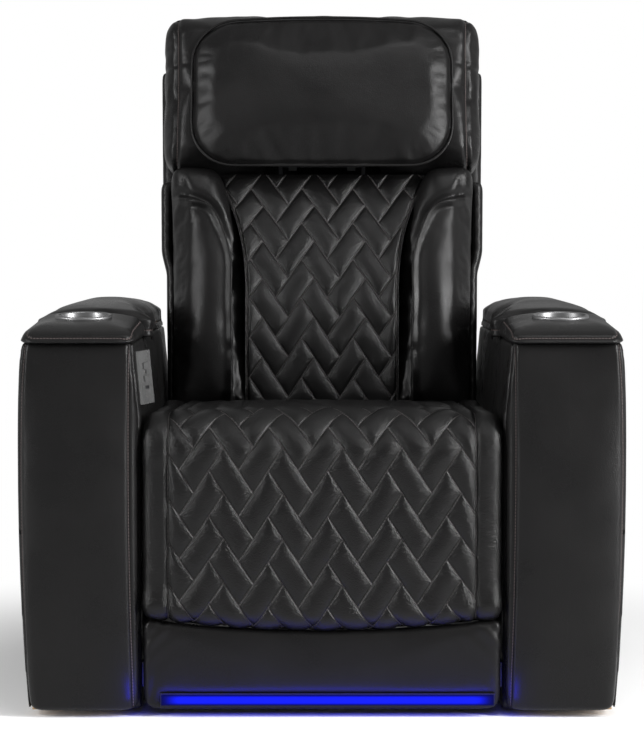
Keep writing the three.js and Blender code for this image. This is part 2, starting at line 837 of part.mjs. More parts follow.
function makeLegrestPad() {
  const face = new THREE.Path();
  const startTurn = Math.PI * 0.75 + noseTurn;
  face.moveTo(noseY + noseRadius * Math.cos(startTurn), noseZ + noseRadius * Math.sin(startTurn));
  face.absarc(noseY, noseZ, noseRadius, startTurn, Math.PI, false);
  face.lineTo(seatFront, padFoot + padFootRadius);
  face.absarc(seatFront + padFootRadius, padFoot + padFootRadius, padFootRadius, Math.PI,
    Math.PI * 1.5, false);
  const start = face.getPointAt(0);
  const rearY = seatFront + padThick;
  const backStart = new THREE.Vector2(rearY, start.y - (rearY - start.x));
  const backEnd = new THREE.Vector2(rearY, padFoot);
  const geometry = quiltedPad({
    faceLine: face,
    backAt: (share) => backStart.clone().lerp(backEnd, share),
    halfWidthAt: () => padHalf,
    quiltHalfAt: () => seatQuiltWidth / 2,
    crown: seatCrown,
    bow: padFootBow,
    peak: new THREE.Vector2(seatTuftPlace, peakBelowHinge),
  });
  add(seat, 'legrest_pad', geometry, quilted);
}

// Points on the two sides of the hinge's sloping gap: down and to the rear from the hinge line
function alongGap(distance, offset) {
  const step = Math.SQRT1_2;
  return new THREE.Vector2(hingeY + (distance + offset) * step, hingeZ - (distance - offset) * step);
}

function makeLegrestHinge() {
  const footZ = seatBase - slack - leafThick;
  const top = knuckleRadius;
  const under = knuckleRadius - leafThick;
  const reachTop = (hingeZ - footZ - leafThick) / Math.SQRT1_2 + top;
  const reachUnder = (hingeZ - footZ) / Math.SQRT1_2 + under;
  const bendTop = alongGap(reachTop, top);
  const bendUnder = alongGap(reachUnder, under);
  const footEnd = frameFront + leafFoot;
  const fixed = plateAcrossX([
    alongGap(0, top), alongGap(0, under), bendUnder, new THREE.Vector2(footEnd, footZ),
    new THREE.Vector2(footEnd, footZ + leafThick), bendTop,
  ], -leafWidth / 2, leafWidth / 2);
  const pitch = leafWidth / knuckleCount;
  const drums = [];
  const moving = [];
  for (let i = 0; i < knuckleCount; i += 1) {
    const x0 = -leafWidth / 2 + i * pitch + slack;
    const x1 = x0 + pitch - slack * 2;
    (i % 2 === 0 ? drums : moving).push(drumAlongX(knuckleRadius, x0, x1, hingeY, hingeZ, 10));
  }
  const notches = moving.map((_, i) => {
    const x0 = -leafWidth / 2 + (i * 2 + 1) * pitch;
    return block(x0, x0 + pitch, hingeY - knuckleRadius * 2, hingeY + knuckleRadius + slack,
      hingeZ - knuckleRadius - slack, hingeZ + knuckleRadius * 2);
  });
  add(seat, 'legrest_hinge', cut(join(fixed, ...drums), ...notches), zinc);
  return { moving, pitch };
}

function leverPin(angle) {
  const turned = angle * degree;
  return new THREE.Vector2(hingeY + leverReach * Math.cos(turned), hingeZ + leverReach * Math.sin(turned));
}

function makeLegrestFrame({ moving, pitch }) {
  const rearY = seatFront + padThick + fit;
  const boardRear = rearY + boardThick;
  const panel = block(-boardWidth / 2, boardWidth / 2, rearY, boardRear, boardFoot, boardTop);
  add(seat, 'legrest_board', panel, board);

  const near = -knuckleRadius + leafThick;
  const far = -knuckleRadius;
  const leafRear = boardRear + fit + leafThick;
  const bendNear = alongGap((leafRear - hingeY) / Math.SQRT1_2 - near, near);
  const bendFar = alongGap((leafRear - leafThick - hingeY) / Math.SQRT1_2 - far, far);
  const leafFootZ = boardTop - leverRoot;
  const leaf = plateAcrossX([
    alongGap(0, near), bendNear, new THREE.Vector2(leafRear, leafFootZ),
    new THREE.Vector2(leafRear - leafThick, leafFootZ), bendFar, alongGap(0, far),
  ], -leafWidth / 2, leafWidth / 2);
  const notches = [];
  for (let i = 0; i <= moving.length; i += 1) {
    const x0 = -leafWidth / 2 + i * 2 * pitch;
    notches.push(block(x0, x0 + pitch, hingeY - knuckleRadius * 2, hingeY + knuckleRadius + slack,
      hingeZ - knuckleRadius * 2, hingeZ + knuckleRadius));
  }
  const cutLeaf = cut(leaf, ...notches);
  const pin = leverPin(leverRestAngle);
  const x0 = leverPlace - leverThick / 2;
  const x1 = leverPlace + leverThick / 2;
  const arm = plateAcrossX([
    new THREE.Vector2(leafRear - leafThick / 2, leafFootZ + leverRoot / 2),
    new THREE.Vector2(leafRear - leafThick / 2, leafFootZ),
    new THREE.Vector2(pin.x - leverWidth / 2, pin.y - leverWidth / 4),
    new THREE.Vector2(pin.x, pin.y - leverWidth / 2),
    new THREE.Vector2(pin.x + leverWidth / 2, pin.y),
    new THREE.Vector2(pin.x + leverWidth / 4, pin.y + leverWidth / 2),
  ], x0, x1);
  const pinDrum = drumAlongX(pinRadius, x1 - overrun, x1 + pinLength, pin.x, pin.y, 16);
  add(seat, 'legrest_lever', join(cutLeaf, ...moving, arm, pinDrum), zinc);
}

function makeKickboard() {
  const half = gapWidth / 2 - padSideGap;
  const shape = new THREE.Shape();
  shape.moveTo(-half + kickCorner, kickFoot);
  shape.lineTo(half - kickCorner, kickFoot);
  shape.quadraticCurveTo(half, kickFoot, half, kickFoot + kickCorner);
  shape.lineTo(half, kickTop + kickBow);
  shape.quadraticCurveTo(0, kickTop - kickBow, -half, kickTop + kickBow);
  shape.lineTo(-half, kickFoot + kickCorner);
  shape.quadraticCurveTo(-half, kickFoot, -half + kickCorner, kickFoot);
  const form = { thick: kickThick - panelCrown, roll: panelRoll, tuck: 0, crown: panelCrown };
  const facingFront = (u, v, w) => new THREE.Vector3(u, kickSet + kickThick - w, v);
  const pad = paddedPanel(outlinePoints(shape, gapWidth / 5, 6), form, facingFront);
  const [x0, x1] = [lightInsetLeft - armInner, armInner - lightInsetRight];
  const [foot, top] = [lightFoot - channelWall, lightFoot + lightHeight + channelWall];
  const recess = block(x0 - channelWall - fit, x1 + channelWall + fit, -overrun,
    kickSet + lightDepth + fit, foot - fit, top + fit);
  add(seat, 'kickboard', cut(pad, recess), leather);

  const front = kickSet;
  const rear = kickSet + lightDepth;
  const body = block(x0 - channelWall, x1 + channelWall, front, rear, foot, top);
  const hollow = block(x0, x1, front - overrun, rear - channelFloor, foot + channelWall,
    top - channelWall);
  add(seat, 'light_channel', cut(body, hollow), satin);
  const strip = roundedOutline(lightFoot + fit, lightFoot + lightHeight - fit, front - overrun,
    rear - channelFloor - fit, overrun);
  const diffuser = new THREE.ExtrudeGeometry(strip,
    { depth: x1 - x0 - fit * 2, bevelEnabled: false, curveSegments: 3 });
  const turn = new THREE.Matrix4().set(0, 0, 1, x0 + fit, 0, 1, 0, 0, 1, 0, 0, 0, 0, 0, 0, 1);
  diffuser.applyMatrix4(turn);
  add(seat, 'light_diffuser', facedOutwards(diffuser), glow);
}

// A turned copy whose faces point out whichever way the turn left them
function facedOutwards(geometry) {
  const plain = shared(geometry);
  const corners = Array.from(plain.getIndex().array);
  const place = plain.getAttribute('position');
  const positions = [];
  for (let i = 0; i < place.count; i += 1) {
    positions.push(new THREE.Vector3().fromBufferAttribute(place, i));
  }
  const triangles = [];
  for (let i = 0; i < corners.length; i += 3) triangles.push(corners.slice(i, i + 3));
  return meshFrom(positions, triangles);
}

function crossRail(y0) {
  const half = armInner - fit;
  const outer = block(-half, half, y0, y0 + railSize, railFoot, railFoot + railSize);
  const hollow = block(-half - overrun, half + overrun, y0 + railWall, y0 + railSize - railWall,
    railFoot + railWall, railFoot + railSize - railWall);
  return cut(outer, hollow);
}

function driveRail(y0, top) {
  const half = armInner - plateInset - plateThick - fit;
  const outer = block(-half, half, y0, y0 + driveTube, top - driveTube, top);
  const hollow = block(-half - overrun, half + overrun, y0 + railWall, y0 + driveTube - railWall,
    top - driveTube + railWall, top - railWall);
  return cut(outer, hollow);
}

function makeBase(drives) {
  const frontRailY = kickSet + kickThick + fit;
  add(seat, 'cross_rail_front', crossRail(frontRailY), paint);
  const rearRailY = plateRear - railSize;
  add(seat, 'cross_rail_rear', crossRail(rearRailY), paint);

  const foot = railFoot + railSize + fit;
  const shape = new THREE.Shape();
  shape.moveTo(frontRailY, foot);
  shape.lineTo(plateRear, foot);
  shape.lineTo(plateRear, foot + plateFoot);
  shape.lineTo(pivotSetBack, pivotHeight - shellRear - earRadius);
  shape.lineTo(pivotSetBack, pivotHeight - earRadius);
  shape.absarc(pivotSetBack, pivotHeight, earRadius, -Math.PI / 2, Math.PI, false);
  shape.lineTo(pivotSetBack - earRadius, plateTop);
  shape.lineTo(plateFront, plateTop);
  shape.lineTo(plateFront, padFoot);
  shape.lineTo(plateFront - plateCorner, padFoot - plateCorner);
  shape.lineTo(frontRailY, padFoot - plateCorner);
  for (const share of windowShares) {
    const middle = frontRailY + (plateRear - frontRailY) * share;
    const centre = (foot + plateTop) / 2;
    const window = roundedOutline(middle - windowWidth / 2, middle + windowWidth / 2,
      centre - windowHeight / 2, centre + windowHeight / 2, plateCorner);
    shape.holes.push(new THREE.Path(window.getPoints(4).reverse()));
  }
  const x1 = armInner - plateInset;
  const plate = plateAcrossX(shape, x1 - plateThick, x1, 8);
  const stud = drumAlongX(studRadius, x1 - plateThick - studReach, x1 - overrun, pivotSetBack, pivotHeight);
  addPair(seat, 'side_plate', join(plate, stud), paint);

  add(seat, 'drive_rail_rear', driveRail(drives.legrestSeatY, drives.legrestSeatZ), paint);
  add(seat, 'drive_rail_front', driveRail(drives.backSeatY, drives.backSeatZ), paint);
}

function makeSeatFrame() {
  const half = armInner - plateInset;
  const top = seatBase - slack - leafThick - fit;
  const foot = plateTop + fit;
  const outer = block(-half, half, frameFront, frameRear, foot, top);
  const opening = block(-half + frameTube, half - frameTube, frameFront + frameTube,
    frameRear - frameTube, foot - overrun, top + overrun);
  const straps = [];
  for (let i = 0; i < lengthwiseStraps; i += 1) {
    const x = (i + 0.5 - lengthwiseStraps / 2) * (half * 2 - frameTube * 2) / lengthwiseStraps;
    straps.push(block(x - strapWidth / 2, x + strapWidth / 2, frameFront + frameTube / 2,
      frameRear - frameTube / 2, top - strapThick * 2, top - strapThick / 2));
  }
  for (let i = 0; i < crosswiseStraps; i += 1) {
    const run = frameRear - frameFront - frameTube * 2;
    const y = frameFront + frameTube + (i + 0.5) * run / crosswiseStraps;
    straps.push(block(-half + frameTube / 2, half - frameTube / 2, y - strapWidth / 2,
      y + strapWidth / 2, top - strapThick, top - strapThick / 3));
  }
  add(seat, 'seat_frame', join(cut(outer, opening), ...straps), paint);
}

// Drives: a motor with a barrel, and a rod whose slotted yoke pushes a lever pin.
// The group's X axis is the line of the rod, pointing to the yoke, with Z across the slot.
function driveGroup(x, y, z, slope) {
  const group = new THREE.Group();
  group.position.set(x, y, z);
  group.rotation.order = 'ZYX';
  group.rotation.z = -Math.PI / 2;
  group.rotation.y = slope;
  seat.add(group);
  return group;
}

// How far a pin on an arc runs ahead of a rod that keeps one ratio to the lever's angle
function arcLead(reach, halfSwing) {
  const ratio = Math.sin(halfSwing) / halfSwing;
  const widest = Math.acos(ratio);
  return reach * (Math.sin(widest) - widest * ratio);
}

function yokeRod(reach, halfSwing, length) {
  const slotHalf = reach * (1 - Math.cos(halfSwing)) / 2 + pinRadius + slack;
  const slotWide = pinRadius + arcLead(reach, halfSwing) + slack;
  const plate = roundedOutline(-slotWide - yokeWall, slotWide + yokeWall,
    -slotHalf - yokeWall, slotHalf + yokeWall, yokeWall);
  plate.holes.push(new THREE.Path(roundedOutline(-slotWide, slotWide, -slotHalf, slotHalf,
    slotWide * slotCornerShare).getPoints(4).reverse()));
  const settings = { depth: yokeThick, bevelEnabled: false, curveSegments: 4 };
  const yoke = new THREE.ExtrudeGeometry(plate, settings);
  yoke.rotateX(Math.PI / 2);
  yoke.translate(0, yokeThick / 2, 0);
  const rodEnd = slotWide + yokeWall / 2;
  const rod = new THREE.CylinderGeometry(rodRadius, rodRadius, length, 16);
  rod.rotateZ(Math.PI / 2);
  rod.translate(-rodEnd - length / 2, 0, 0);
  return join(yoke, rod);
}

function motorWithBarrel(barrelEnd, length, sign) {
  const barrel = new THREE.CylinderGeometry(barrelRadius, barrelRadius, length, 18);
  barrel.rotateZ(Math.PI / 2);
  barrel.translate(barrelEnd - length / 2, 0, 0);
  const boreLength = length + overrun;
  const bore = new THREE.CylinderGeometry(rodRadius + slack, rodRadius + slack, boreLength, 16);
  bore.rotateZ(Math.PI / 2);
  bore.translate(barrelEnd - length / 2 + overrun, 0, 0);
  const rear = barrelEnd - length;
  const outline = roundedOutline(rear - motorLength, rear + overrun, -motorHeight * motorDropShare,
    motorHeight * (1 - motorDropShare), motorCorner);
  const settings = { depth: motorWidth, bevelEnabled: false, curveSegments: 3 };
  const housing = new THREE.ExtrudeGeometry(outline, settings);
  housing.rotateX(Math.PI / 2);
  housing.translate(0, motorWidth / 2, 0);
  const canRadius = motorWidth * canShare;
  const can = new THREE.CylinderGeometry(canRadius, canRadius, motorLength, 16);
  can.rotateX(Math.PI / 2);
  can.translate(rear - motorLength / 2, sign * (motorWidth / 2 + canRadius * canInsetShare), 0);
  return cut(join(barrel, housing, can), bore);
}

function makeDrives() {
  const middleAngle = (leverRestAngle - legrestSwing / 2) * degree;
  const halfSwing = legrestSwing * degree / 2;
  const toPin = leverReach * (1 + Math.cos(halfSwing)) / 2;
  const backAlong = leverReach * Math.sin(halfSwing);
  const yokeX = leverPlace + leverThick / 2 + pinLength / 2;
  const yokeY = hingeY + toPin * Math.cos(middleAngle) - backAlong * Math.sin(middleAngle);
  const yokeZ = hingeZ + toPin * Math.sin(middleAngle) + backAlong * Math.cos(middleAngle);
  const slope = middleAngle - Math.PI * 1.5;
  const legrest = driveGroup(yokeX, yokeY, yokeZ, slope);
  add(legrest, 'legrest_rod', yokeRod(leverReach, halfSwing, rodLength), steel);
  const reach = pinRadius + arcLead(leverReach, halfSwing) + yokeWall + yokeNeck;
  add(legrest, 'legrest_motor', motorWithBarrel(-reach, barrelLength, -1), plastic);

  const halfLean = backRecline * degree / 2;
  const backMiddle = backLeverReach * (1 + Math.cos(halfLean)) / 2;
  const backY = pivotSetBack + backLeverReach * Math.sin(halfLean);
  const backZ = pivotHeight - backMiddle;
  const backX = backLeverPlace - eyeThick / 2 - pinLength / 2;
  const group = driveGroup(backX, backY, backZ, 0);
  group.rotation.z = Math.PI / 2;
  add(group, 'back_rod', yokeRod(backLeverReach, halfLean, backRodLength), steel);
  const backReach = reach + backLeverReach * Math.sin(halfLean) * 2;
  add(group, 'back_motor', motorWithBarrel(-backReach, backBarrelLength, -1), plastic);

  const legrestMotorMiddle = -reach - barrelLength - motorLength / 2;
  const legrestDown = new THREE.Vector3(legrestMotorMiddle, 0, -motorHeight * motorDropShare);
  const backMotorMiddle = -backReach - backBarrelLength - motorLength / 2;
  seat.updateMatrixWorld(true);
  const legrestFoot = legrest.localToWorld(legrestDown);
  return {
    legrestSeatY: legrestFoot.y - driveTube / 2,
    legrestSeatZ: legrestFoot.z - driveTube / 2 * Math.abs(Math.tan(slope)) - fit,
    backSeatY: backY + backMotorMiddle - driveTube / 2,
    backSeatZ: backZ - motorHeight * motorDropShare - fit,
  };
}

// Back pieces stand upright in their own group: Z runs up along the back from its pivot
function backHalfAt(z) {
  const share = THREE.MathUtils.clamp((z - backFoot) / (shellTop - backFoot), 0, 2);
  return THREE.MathUtils.lerp(backHalfFoot, backHalfTop, share);
}

function taperWithBack(geometry) {
  const place = geometry.getAttribute('position');
  for (let i = 0; i < place.count; i += 1) {
    place.setX(i, place.getX(i) * backHalfAt(place.getZ(i)) / backHalfFoot);
  }
  return geometry;
}

function makeBackShell() {
  const outline = new THREE.Shape();
  const step = headRear + fit * 10;
  outline.moveTo(cushionPlane, backFoot);
  outline.lineTo(shellRear - shellRoll * 2, backFoot);
  outline.quadraticCurveTo(shellRear - shellRoll / 2, backFoot, shellRear, shellRoll * 2);
  outline.lineTo(shellRear, shellTop - shellRoll);
  outline.quadraticCurveTo(shellRear, shellTop, shellRear - shellRoll, shellTop);
  outline.lineTo(step + shellRoll / 2, shellTop);
  outline.quadraticCurveTo(step, shellTop, step, shellTop - shellRoll / 2);
  outline.lineTo(step, headFoot - bolsterGap);
  outline.lineTo(cushionPlane, headFoot - bolsterGap);
  const settings = {
    depth: (backHalfFoot - shellBevel) * 2,
    bevelEnabled: true,
    bevelThickness: shellBevel,
    bevelSize: shellBevel / 2,
    bevelOffset: -shellBevel / 2,
    bevelSegments: 2,
    curveSegments: 4,
  };
  const body = new THREE.ExtrudeGeometry(outline, settings);
  const toAcross = shellBevel - backHalfFoot;
  const turn = new THREE.Matrix4().set(0, 0, 1, toAcross, 1, 0, 0, 0, 0, 1, 0, 0, 0, 0, 0, 1);
  body.applyMatrix4(turn);
  const half = backHalfFoot - shellWall;
  const hollowTop = headFoot - bolsterGap - shellWall;
  const hollow = block(-half, half, cushionPlane - overrun, tubeRadius + fit, backFoot - overrun, hollowTop);
  const earPocket = block(-half, half, cushionPlane, earRadius + overrun * 2, backFoot - overrun,
    earRadius + overrun * 4);
  const headSlot = block(-headSlotHalf, headSlotHalf, cushionPlane - overrun, tubeRadius,
    hollowTop - overrun, headFoot);
  const shell = cut(taperWithBack(shared(body)), hollow, earPocket, headSlot);
  add(back, 'back_shell', shell, leather);
}

function insertHalfAt(z) {
  const share = THREE.MathUtils.clamp((z - insertTaperFrom) / (headFoot - insertTaperFrom), 0, 1);
  return THREE.MathUtils.lerp(insertHalfFoot, insertHalfTop, share ** insertTaperBend);
}

function makeBackCushions() {
  const top = headFoot - headGap;
  const face = new THREE.SplineCurve([
    new THREE.Vector2(insertFront + insertFootTuck, insertFoot),
    new THREE.Vector2(insertFront - insertBelly, insertBellyHeight),
    new THREE.Vector2(insertFront, insertShoulderHeight),
    new THREE.Vector2(insertFront + insertTopTuck, top),
  ]);
  const heightAt = (t) => face.getPointAt(THREE.MathUtils.clamp(t / face.getLength(), 0, 1)).y;
  const insert = quiltedPad({
    faceLine: face,
    backAt: (share) => new THREE.Vector2(cushionPlane - fit, face.getPointAt(share).y),
    halfWidthAt: (t) => insertHalfAt(heightAt(t)),
    quiltHalfAt: (t) => insertHalfAt(heightAt(t)) + tuftFade / 2,
    crown: insertCrown,
    bow: 0,
    peak: new THREE.Vector2(backTuftPlace, backTuftHeight - insertFoot),
  });
  add(back, 'back_insert', insert, quilted);

  const shape = new THREE.Shape();
  const inner = (z) => insertHalfAt(z) + bolsterGap;
  const outer = (z) => backHalfAt(z) - panelTuck;
  shape.moveTo(inner(insertFoot), insertFoot);
  shape.lineTo(outer(insertFoot), insertFoot);
  shape.lineTo(outer(top), top);
  shape.lineTo(inner(top), top);
  for (const share of taperShares) {
    const z = THREE.MathUtils.lerp(insertTaperFrom, top, share);
    shape.lineTo(inner(z), z);
  }
  shape.lineTo(inner(insertTaperFrom), insertTaperFrom);
  const thick = cushionPlane - fit - bolsterFront - bolsterCrown;
  const form = { thick, roll: bolsterRoll, tuck: 0, crown: bolsterCrown };
  const facingFront = (u, v, w) => new THREE.Vector3(u, cushionPlane - fit - w, v);
  const bolster = paddedPanel(outlinePoints(shape, headFoot / 5, 3), form, facingFront);
  addPair(back, 'bolster', bolster, leather);
}

function roundBar(points, radius, sides = 12) {
  const bars = [];
  for (let i = 0; i + 1 < points.length; i += 1) {
    const run = points[i + 1].clone().sub(points[i]);
    const bar = new THREE.CylinderGeometry(radius, radius, run.length(), sides);
    bar.translate(0, run.length() / 2, 0);
    const upright = new THREE.Vector3(0, 1, 0);
    const turn = new THREE.Quaternion().setFromUnitVectors(upright, run.clone().normalize());
    bar.applyQuaternion(turn);
    bar.translate(...points[i].toArray());
    bars.push(bar);
    if (i > 0) {
      const knee = new THREE.SphereGeometry(radius * kneeShare, sides, 6);
      knee.translate(...points[i].toArray());
      bars.push(knee);
    }
  }
  return bars;
}

function makeBackFrame() {
  const half = backFrameHalf - tubeRadius;
  const corners = [[-half, 0], [-half, backFrameTop], [half, backFrameTop], [half, 0]];
  const tubes = roundBar(corners.map(([x, z]) => new THREE.Vector3(x, 0, z)), tubeRadius);
  const crossHeights = [eyeRadius * lowCrossTubeShare, backFrameTop / 2];
  for (const z of crossHeights) {
    const ends = [new THREE.Vector3(-half, 0, z), new THREE.Vector3(half, 0, z)];
    tubes.push(...roundBar(ends, tubeRadius * crossTubeShare));
  }
  for (const share of strapShares) {
    const z = backFrameTop * share;
    const [foot, top] = [z - strapWidth / 2, z + strapWidth / 2];
    tubes.push(block(-half, half, -strapThick / 2, strapThick / 2, foot, top));
  }
  for (let i = 0; i < lengthwiseStraps; i += 1) {
    const x = (i + 0.5 - lengthwiseStraps / 2) * half * 2 / lengthwiseStraps;
    tubes.push(block(x - strapWidth / 2, x + strapWidth / 2, -strapThick / 3, strapThick / 3,
      crossHeights[0], backFrameTop));
  }
  const eyes = [-1, 1].map((side) => drumAlongX(eyeRadius, side * half - tubeRadius * eyeLengthShare,
    side * half + tubeRadius * eyeLengthShare, 0, 0));
  const bores = [-1, 1].map((side) => drumAlongX(studRadius + slack, side * half - tubeRadius * 2,
    side * half + tubeRadius * 2, 0, 0));
  const angle = (270 + backRecline / 2 + rake) * degree;
  const pin = new THREE.Vector2(backLeverReach * Math.cos(angle), backLeverReach * Math.sin(angle));
  const lever = plateAcrossX([
    new THREE.Vector2(-tubeRadius, crossHeights[0]), new THREE.Vector2(pin.x - leverWidth / 2, pin.y),
    new THREE.Vector2(pin.x, pin.y - leverWidth / 2), new THREE.Vector2(pin.x + leverWidth / 2, pin.y),
    new THREE.Vector2(tubeRadius, crossHeights[0]),
  ], backLeverPlace - eyeThick / 2, backLeverPlace + eyeThick / 2);
  const pinX = backLeverPlace - eyeThick / 2;
  const pinDrum = drumAlongX(pinRadius, pinX - pinLength, pinX + overrun, pin.x, pin.y, 16);
  add(back, 'back_frame', cut(join(...tubes, ...eyes, lever, pinDrum), ...bores), zinc);
}

function makeHeadrest() {
  const half = backHalfAt(shellTop) - panelTuck * 2;
  const foot = headFoot;
  const outline = roundedOutline(-half, half, foot, headTop, headRoll);
  const thick = headRear - headFront - headCrown;
  const form = { thick, roll: headRoll, tuck: panelRoll, crown: headCrown };
  const facingFront = (u, v, w) => new THREE.Vector3(u, headRear - w, v);
  const body = paddedPanel(outlinePoints(outline, half * headStepShare, 3), form, facingFront);
  const slot = block(-headSlotHalf, headSlotHalf, headSlotFront, headRear + overrun,
    foot - overrun, headSlotTop);
  add(back, 'head_block', cut(body, slot), leather);

  const pillowForm = { thick: pillowThick, roll: pillowRoll, tuck: panelTuck, crown: pillowCrown };
  const pillowHalf = pillowWidth / 2;
  const pillowOutline = roundedOutline(-pillowHalf, pillowHalf, pillowFoot, pillowTop, pillowCorner);
  const onHead = (u, v, w) => new THREE.Vector3(u, headFront - fit - w, v);
  const pillow = paddedPanel(outlinePoints(pillowOutline, pillowWidth / 4, 4), pillowForm, onHead);
  add(back, 'head_pillow', pillow, leather);

  const drum = drumAlongX(headMotorRadius, -headMotorHalf, headMotorHalf, headHingeY, headHingeZ, 18);
  const overCushions = headFoot - headGap + slack * 2;
  const arms = [-1, 1].map((side) => {
    const x = side * (headMotorHalf - headArmThick / 2);
    const near = cushionPlane + slack;
    const far = -tubeRadius - fit;
    return plateAcrossX([
      new THREE.Vector2(headHingeY - headArmWidth / 4, headHingeZ - headArmWidth / 3),
      new THREE.Vector2(near, overCushions),
      new THREE.Vector2(near, backFrameTop - headArmWidth / 2),
      new THREE.Vector2(far, backFrameTop - headArmWidth / 2),
      new THREE.Vector2(far, overCushions + headArmWidth),
      new THREE.Vector2(headHingeY + headArmWidth / 4, headHingeZ + headArmWidth / 3),
    ], x - headArmThick / 2, x + headArmThick / 2);
  });
  const web = block(-headMotorHalf, headMotorHalf, cushionPlane + slack, -tubeRadius - fit,
    backFrameTop - headArmWidth / 2, headFoot - bolsterGap);
  add(back, 'headrest_motor', join(drum, web, ...arms), paint);

  const eyes = [-1, 1].map((side) => {
    const x = side * headEyePlace;
    return drumAlongX(headMotorRadius + slack + headEyeWall, x - headEyeThick / 2,
      x + headEyeThick / 2, headHingeY, headHingeZ, 18);
  });
  const strap = block(-headEyePlace - headEyeThick / 2, headEyePlace + headEyeThick / 2,
    headHingeY - headArmWidth, headRear - headRoll, headHingeZ + headMotorRadius + headEyeWall - overrun,
    headSlotTop - fit);
  const bore = drumAlongX(headMotorRadius + slack, -headMotorHalf, headMotorHalf,
    headHingeY, headHingeZ, 18);
  add(back, 'headrest_bracket', cut(join(strap, ...eyes), bore), zinc);
}

// Control panel: a wedge on the leaning inner face of the left arm, with its face turned forward
function makeControls() {
  const lean = Math.atan2(armFlare, armTop - armFlareFrom);
  const group = new THREE.Group();
  const x = -(armInner + armFlare * (panelMiddle - armFlareFrom) / (armTop - armFlareFrom));
  group.position.set(x, panelSetBack, panelMiddle);
  group.rotation.y = -lean;
  seat.add(group);

  const rise = panelWidth * Math.tan(panelTurn * degree);
  const half = panelWidth / 2;
  const wedge = new THREE.Shape([
    new THREE.Vector2(fit, -half), new THREE.Vector2(panelThin, -half),
    new THREE.Vector2(panelThin + rise, half), new THREE.Vector2(fit, half),
  ]);
  const settings = { depth: panelHeight, bevelEnabled: false };
  const body = new THREE.ExtrudeGeometry(wedge, settings);
  body.translate(0, 0, -panelHeight / 2);

  // The face's own frame: X points out of the face and Z runs up it
  const face = new THREE.Matrix4().makeRotationZ(-panelTurn * degree);
  face.setPosition(panelThin + rise / 2, 0, 0);
  const onFace = (geometry) => geometry.applyMatrix4(face);
  const key = (width, tall, z, depth, proud) => onFace(
    block(-depth, proud, -width / 2, width / 2, z - tall / 2, z + tall / 2));
  const round = (radius, depth, proud, z) => {
    const drum = new THREE.CylinderGeometry(radius, radius, depth + proud, 16);
    drum.rotateZ(Math.PI / 2);
    drum.translate((proud - depth) / 2, 0, z);
    return onFace(drum);
  };
  const keyPlaces = [['button_open', openPlace], ['button_close', closePlace]];
  const wells = keyPlaces.map(([, z]) => key(buttonWidth + buttonGap * 2, buttonHeight + buttonGap * 2,
    z, buttonDepth + buttonTravel + fit, overrun));
  wells.push(round(homeRadius + buttonGap, buttonDepth + buttonTravel + fit, overrun, homePlace));
  wells.push(key(portWidth, portHeight, portPlace, portDepth, overrun));
  add(group, 'control_panel', cut(body, ...wells), satin);
  for (const [name, z] of keyPlaces) {
    add(group, name, key(buttonWidth, buttonHeight, z, buttonDepth, buttonProud), satin);
  }
  add(group, 'button_home', round(homeRadius, buttonDepth, buttonProud, homePlace), satin);
  const insert = key(portWidth - fit * 2, portHeight - fit * 2, portPlace, portDepth - fit, -buttonGap);
  const tongueGap = key(portWidth * tongueLongShare, portHeight * tongueTallShare, portPlace,
    portDepth / 2, overrun);
  add(group, 'charging_port', cut(insert, tongueGap), plastic);
}

makeArmPanels();
makeCupDeck();
makeStorage();
makeGlides();
makeSeatCushion();
makeLegrestPad();
makeLegrestFrame(makeLegrestHinge());
makeKickboard();
makeBase(makeDrives());
makeSeatFrame();
makeBackShell();
makeBackCushions();
makeBackFrame();
makeHeadrest();
makeControls();

// The origin lies on the floor under the middle of the seat
seat.updateMatrixWorld(true);
const extent = new THREE.Box3().setFromObject(seat, true);
seat.position.y = -(extent.min.y + extent.max.y) / 2;

export default seat;
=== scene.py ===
# %% [markdown]
# # A powered cinema recliner in Blender
#
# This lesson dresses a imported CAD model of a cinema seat. The CAD model gives every size and every
# joint, so each piece made here is placed from the CAD pieces, in metres, and rides on their bodies.

# %% Load the frame and keep its box
import json
import math

import bpy
import numpy as np
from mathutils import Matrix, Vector, noise


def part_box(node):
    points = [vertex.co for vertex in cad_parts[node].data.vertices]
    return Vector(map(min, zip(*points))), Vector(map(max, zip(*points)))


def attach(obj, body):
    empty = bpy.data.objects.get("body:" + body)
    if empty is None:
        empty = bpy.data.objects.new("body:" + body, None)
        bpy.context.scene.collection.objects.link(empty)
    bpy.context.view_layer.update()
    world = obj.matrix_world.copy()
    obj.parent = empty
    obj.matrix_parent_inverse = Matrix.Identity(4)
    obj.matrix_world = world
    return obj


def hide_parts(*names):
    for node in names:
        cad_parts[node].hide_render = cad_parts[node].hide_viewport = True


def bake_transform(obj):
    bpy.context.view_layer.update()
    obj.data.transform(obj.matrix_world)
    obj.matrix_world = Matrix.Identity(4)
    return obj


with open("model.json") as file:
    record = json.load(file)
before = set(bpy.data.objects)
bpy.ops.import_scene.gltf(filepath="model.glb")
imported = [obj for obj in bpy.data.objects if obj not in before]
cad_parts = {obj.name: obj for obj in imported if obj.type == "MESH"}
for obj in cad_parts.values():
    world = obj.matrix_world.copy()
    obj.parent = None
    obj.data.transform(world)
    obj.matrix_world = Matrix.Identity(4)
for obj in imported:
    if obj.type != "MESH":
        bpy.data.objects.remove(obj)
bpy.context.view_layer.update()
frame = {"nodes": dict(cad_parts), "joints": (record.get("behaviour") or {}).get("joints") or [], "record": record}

# %% [markdown]
# ## The camera
#
# A product photo is taken from far away with a long lens, so that upright lines stay upright.
# The lens looks down by less than three degrees, at a seat whose arm fronts are 3.9 m away.

